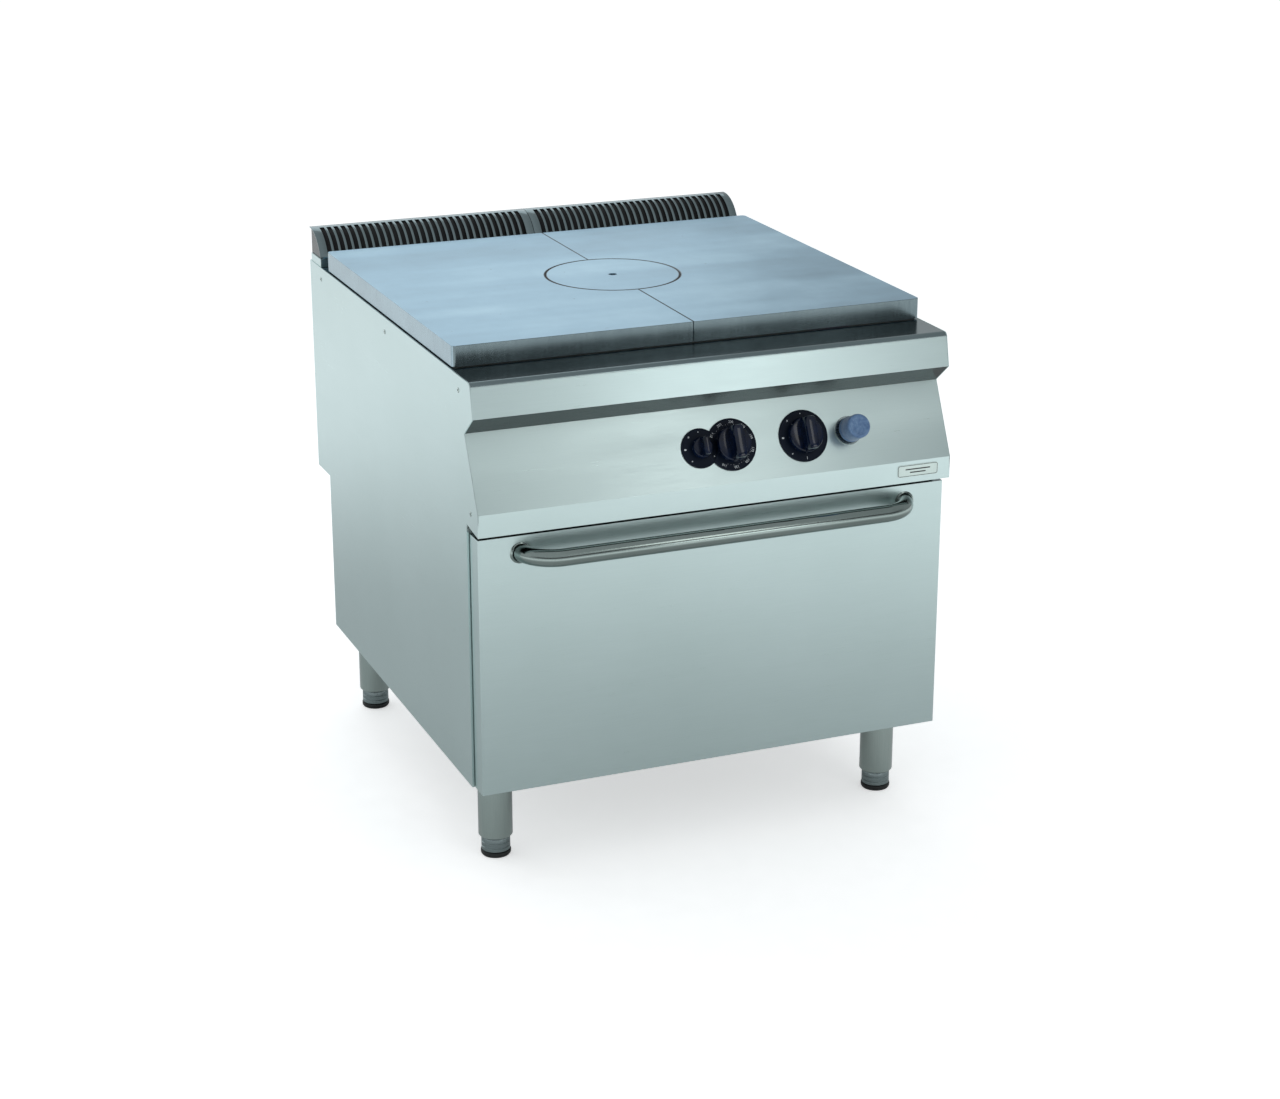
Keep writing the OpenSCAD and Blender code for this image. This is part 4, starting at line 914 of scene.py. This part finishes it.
def igniter():
    """The rubber cap of the piezo igniter over its steel collar."""
    bm = bmesh.new()
    place = on_panel("igniter_button", 10)
    lathe(bm, [(14.6, 13), (14.6, 0), (19.9, 0), (20.5, 0.6), (20.3, 5), (19.7, 6), (19.9, 7), (19.4, 26)]
          + rounded(19.3, 33.8, 3.2) + [(14.5, 33.9), (13.6, 33.2), (6, 32.6), (0, 32.5)], place, 96)
    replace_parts(piece("igniter_cap", bm, "igniter_button", smooth=40), "igniter_button")


def badge():
    """A blank rating plate: a thin rounded plate with a raised border and plain bars."""
    low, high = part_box("badge_plate")
    width, height = (high.x - low.x) / MM, (high.z - low.z) / MM
    place = Matrix.Translation((low.x, high.y, low.z)) @ Matrix.Rotation(math.pi / 2, 4, "X")

    def rounded_box(inset, r):
        corners = ((width - inset - r, height - inset - r, 0), (inset + r, height - inset - r, 90),
                   (inset + r, inset + r, 180), (width - inset - r, inset + r, 270))
        return [(x + r * math.cos(math.radians(a + t)), y + r * math.sin(math.radians(a + t)))
                for x, y, a in corners for t in (0, 22.5, 45, 67.5, 90)]

    bm = bmesh.new()
    flat_shape(bm, rounded_box(0, 4), place, 0.7)
    made = piece("badge_sheet", bm, "badge_plate", "polished_stainless", smooth=30)
    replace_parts(made, "badge_plate")
    bm = bmesh.new()
    outer, inner = rounded_box(0.8, 3.2), rounded_box(1.6, 2.4)
    raised = place @ Matrix.Translation((0, 0, 0.68 * MM))
    for i in range(len(outer)):
        j = (i + 1) % len(outer)
        flat_shape(bm, [outer[i], outer[j], inner[j], inner[i]], raised, 0.15)
    for x0, x1, y in ((14, 58, 11.4), (22, 50, 6.2)):
        flat_shape(bm, [(x0, y), (x1, y), (x1, y + 2), (x0, y + 2)], raised, 0.12)
    piece("badge_print", bm, "badge_plate", "enamel_ink", smooth=30)


def shaded_joints():
    """Painted shade: dark strips set just below the top in the joint between the plates and in the ring round the
    disc, where the gaps lie in shadow.
    """
    low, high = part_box("solid_top_left")
    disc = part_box("centre_disc")
    r, y = (disc[1].x - disc[0].x) / 2 / MM, (disc[0].y + disc[1].y) / 2
    ring = bmesh.new()
    ring_profile = [(r + 0.15, -3), (r + 0.15, -0.2), (r + 1.5, -0.2), (r + 1.5, -3)]
    lathe(ring, ring_profile, Matrix.Translation((0, y, high.z)), 128)
    piece("ring_painted_shade", ring, "solid_top_left", "soot_and_shade")
    seam = bmesh.new()
    for front, rear in ((low.y + 1 * MM, y - (r + 2) * MM), (y + (r + 2) * MM, high.y - 1 * MM)):
        near, far = front / MM, rear / MM
        outline = [(-0.9, near), (0.9, near), (0.9, far), (-0.9, far)]
        flat_shape(seam, outline, Matrix.Translation((0, 0, high.z - 0.9 * MM)), 0.7)
    piece("seam_painted_shade", seam, "solid_top_left", "soot_and_shade")


def inlet_thread():
    """The pipe thread on the gas inlet."""
    end_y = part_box("gas_supply_pipe")[1].y
    place = Matrix.Translation((PIPE_X, end_y, INLET_Z)) @ Matrix.Rotation(math.pi / 2, 4, "X")
    profile = [(9.2, 0.0), (10.1, 0.05)]
    h = 1.2
    while h < 27:
        profile += [(10.5, h), (10.95, h + 0.6), (10.5, h + 1.2)]
        h += 1.814
    bm = bmesh.new()
    lathe(bm, profile, place, 64)
    piece("inlet_thread", bm, "gas_supply_pipe", "galvanised_steel", smooth=20)


set_camera()
set_lights()
set_floor()

# sheet metal and castings keep their CAD shape, with their edges rounded
SHEETS = {
    "side_panel_left": 0.5, "side_panel_right": 0.5, "door_outer_panel": 0.6, "control_panel": 0.6, "back_panel": 0.5,
    "door_inner_panel": 0.6, "oven_face_frame": 0.4, "flue_rail": 0.4, "base_tray": 0.4, "burner_box": 0.4,
    "oven_liner": 0.4, "oven_floor_plate": 0.8, "chassis_frame": 0.4, "flue_end_caps": 0.2, "igniter_body": 0.4,
    "worktop": 0.5, "refractory_bricks": 1.0, "hinge_arms": 0.4, "hinge_brackets": 0.3, "flue_duct": 0.3,
    "solid_top_left": 0.6, "solid_top_right": 0.6, "centre_disc": 0.4,
}
sheets = {name: softened(name, width, steps=3 if SLOTS[name].endswith("iron") else 2)
          for name, width in SHEETS.items()}
refinish(sheets["worktop"], "deck", lambda n: n.z > 0.4)
# painted shade: faces that look down take a near-black copy of the steel
for name in ("worktop", "control_panel"):
    refinish(sheets[name], "recess", lambda n: n.z < -0.5)
# painted shade: the door's top edge takes the darker worktop steel, so the gap under the panel lip reads as a dark
# line
refinish(sheets["door_outer_panel"], "deck", lambda n: n.z > 0.7)
# painted light and shade: the plates' front edges take a darker copy of the edge finish, their long sides a paler one
for name in ("solid_top_left", "solid_top_right"):
    refinish(sheets[name], "rim", lambda n: n.y < -0.4)
    refinish(sheets[name], "flank", lambda n: abs(n.x) > 0.7)
# partly real and partly painted shade: the whole flue duct is soot black, as a flue gets, and dark too as the shade
# inside it
refinish(sheets["flue_duct"], "soot_and_shade", lambda n: True)

for name in ("flue_grille_left", "flue_grille_right"):
    slotted_grille(name, name.endswith("left"))
knob("knob_thermostat", 29, 32, 22)
knob("knob_hob", 29, 32, 22)
knob("knob_oven", 17, 25.6, 11)
dial_plate("dial_plate_oven", ((-26.4, 31.5), (26.5, 41.5)))
dial_plate("dial_plate_hob", ((150, 41.5),))
print_dials("dial_plate_oven", -26.4, 26.5, 35.5)
print_dials("dial_plate_hob", None, 150, 35.5)
igniter()
handle()
side_screws()
legs()
badge()
shaded_joints()
inlet_thread()

for name, node in frame["nodes"].items():
    if not node.hide_render:
        node.data.materials.clear()
        node.data.materials.append(finish_of(SLOTS[name]))
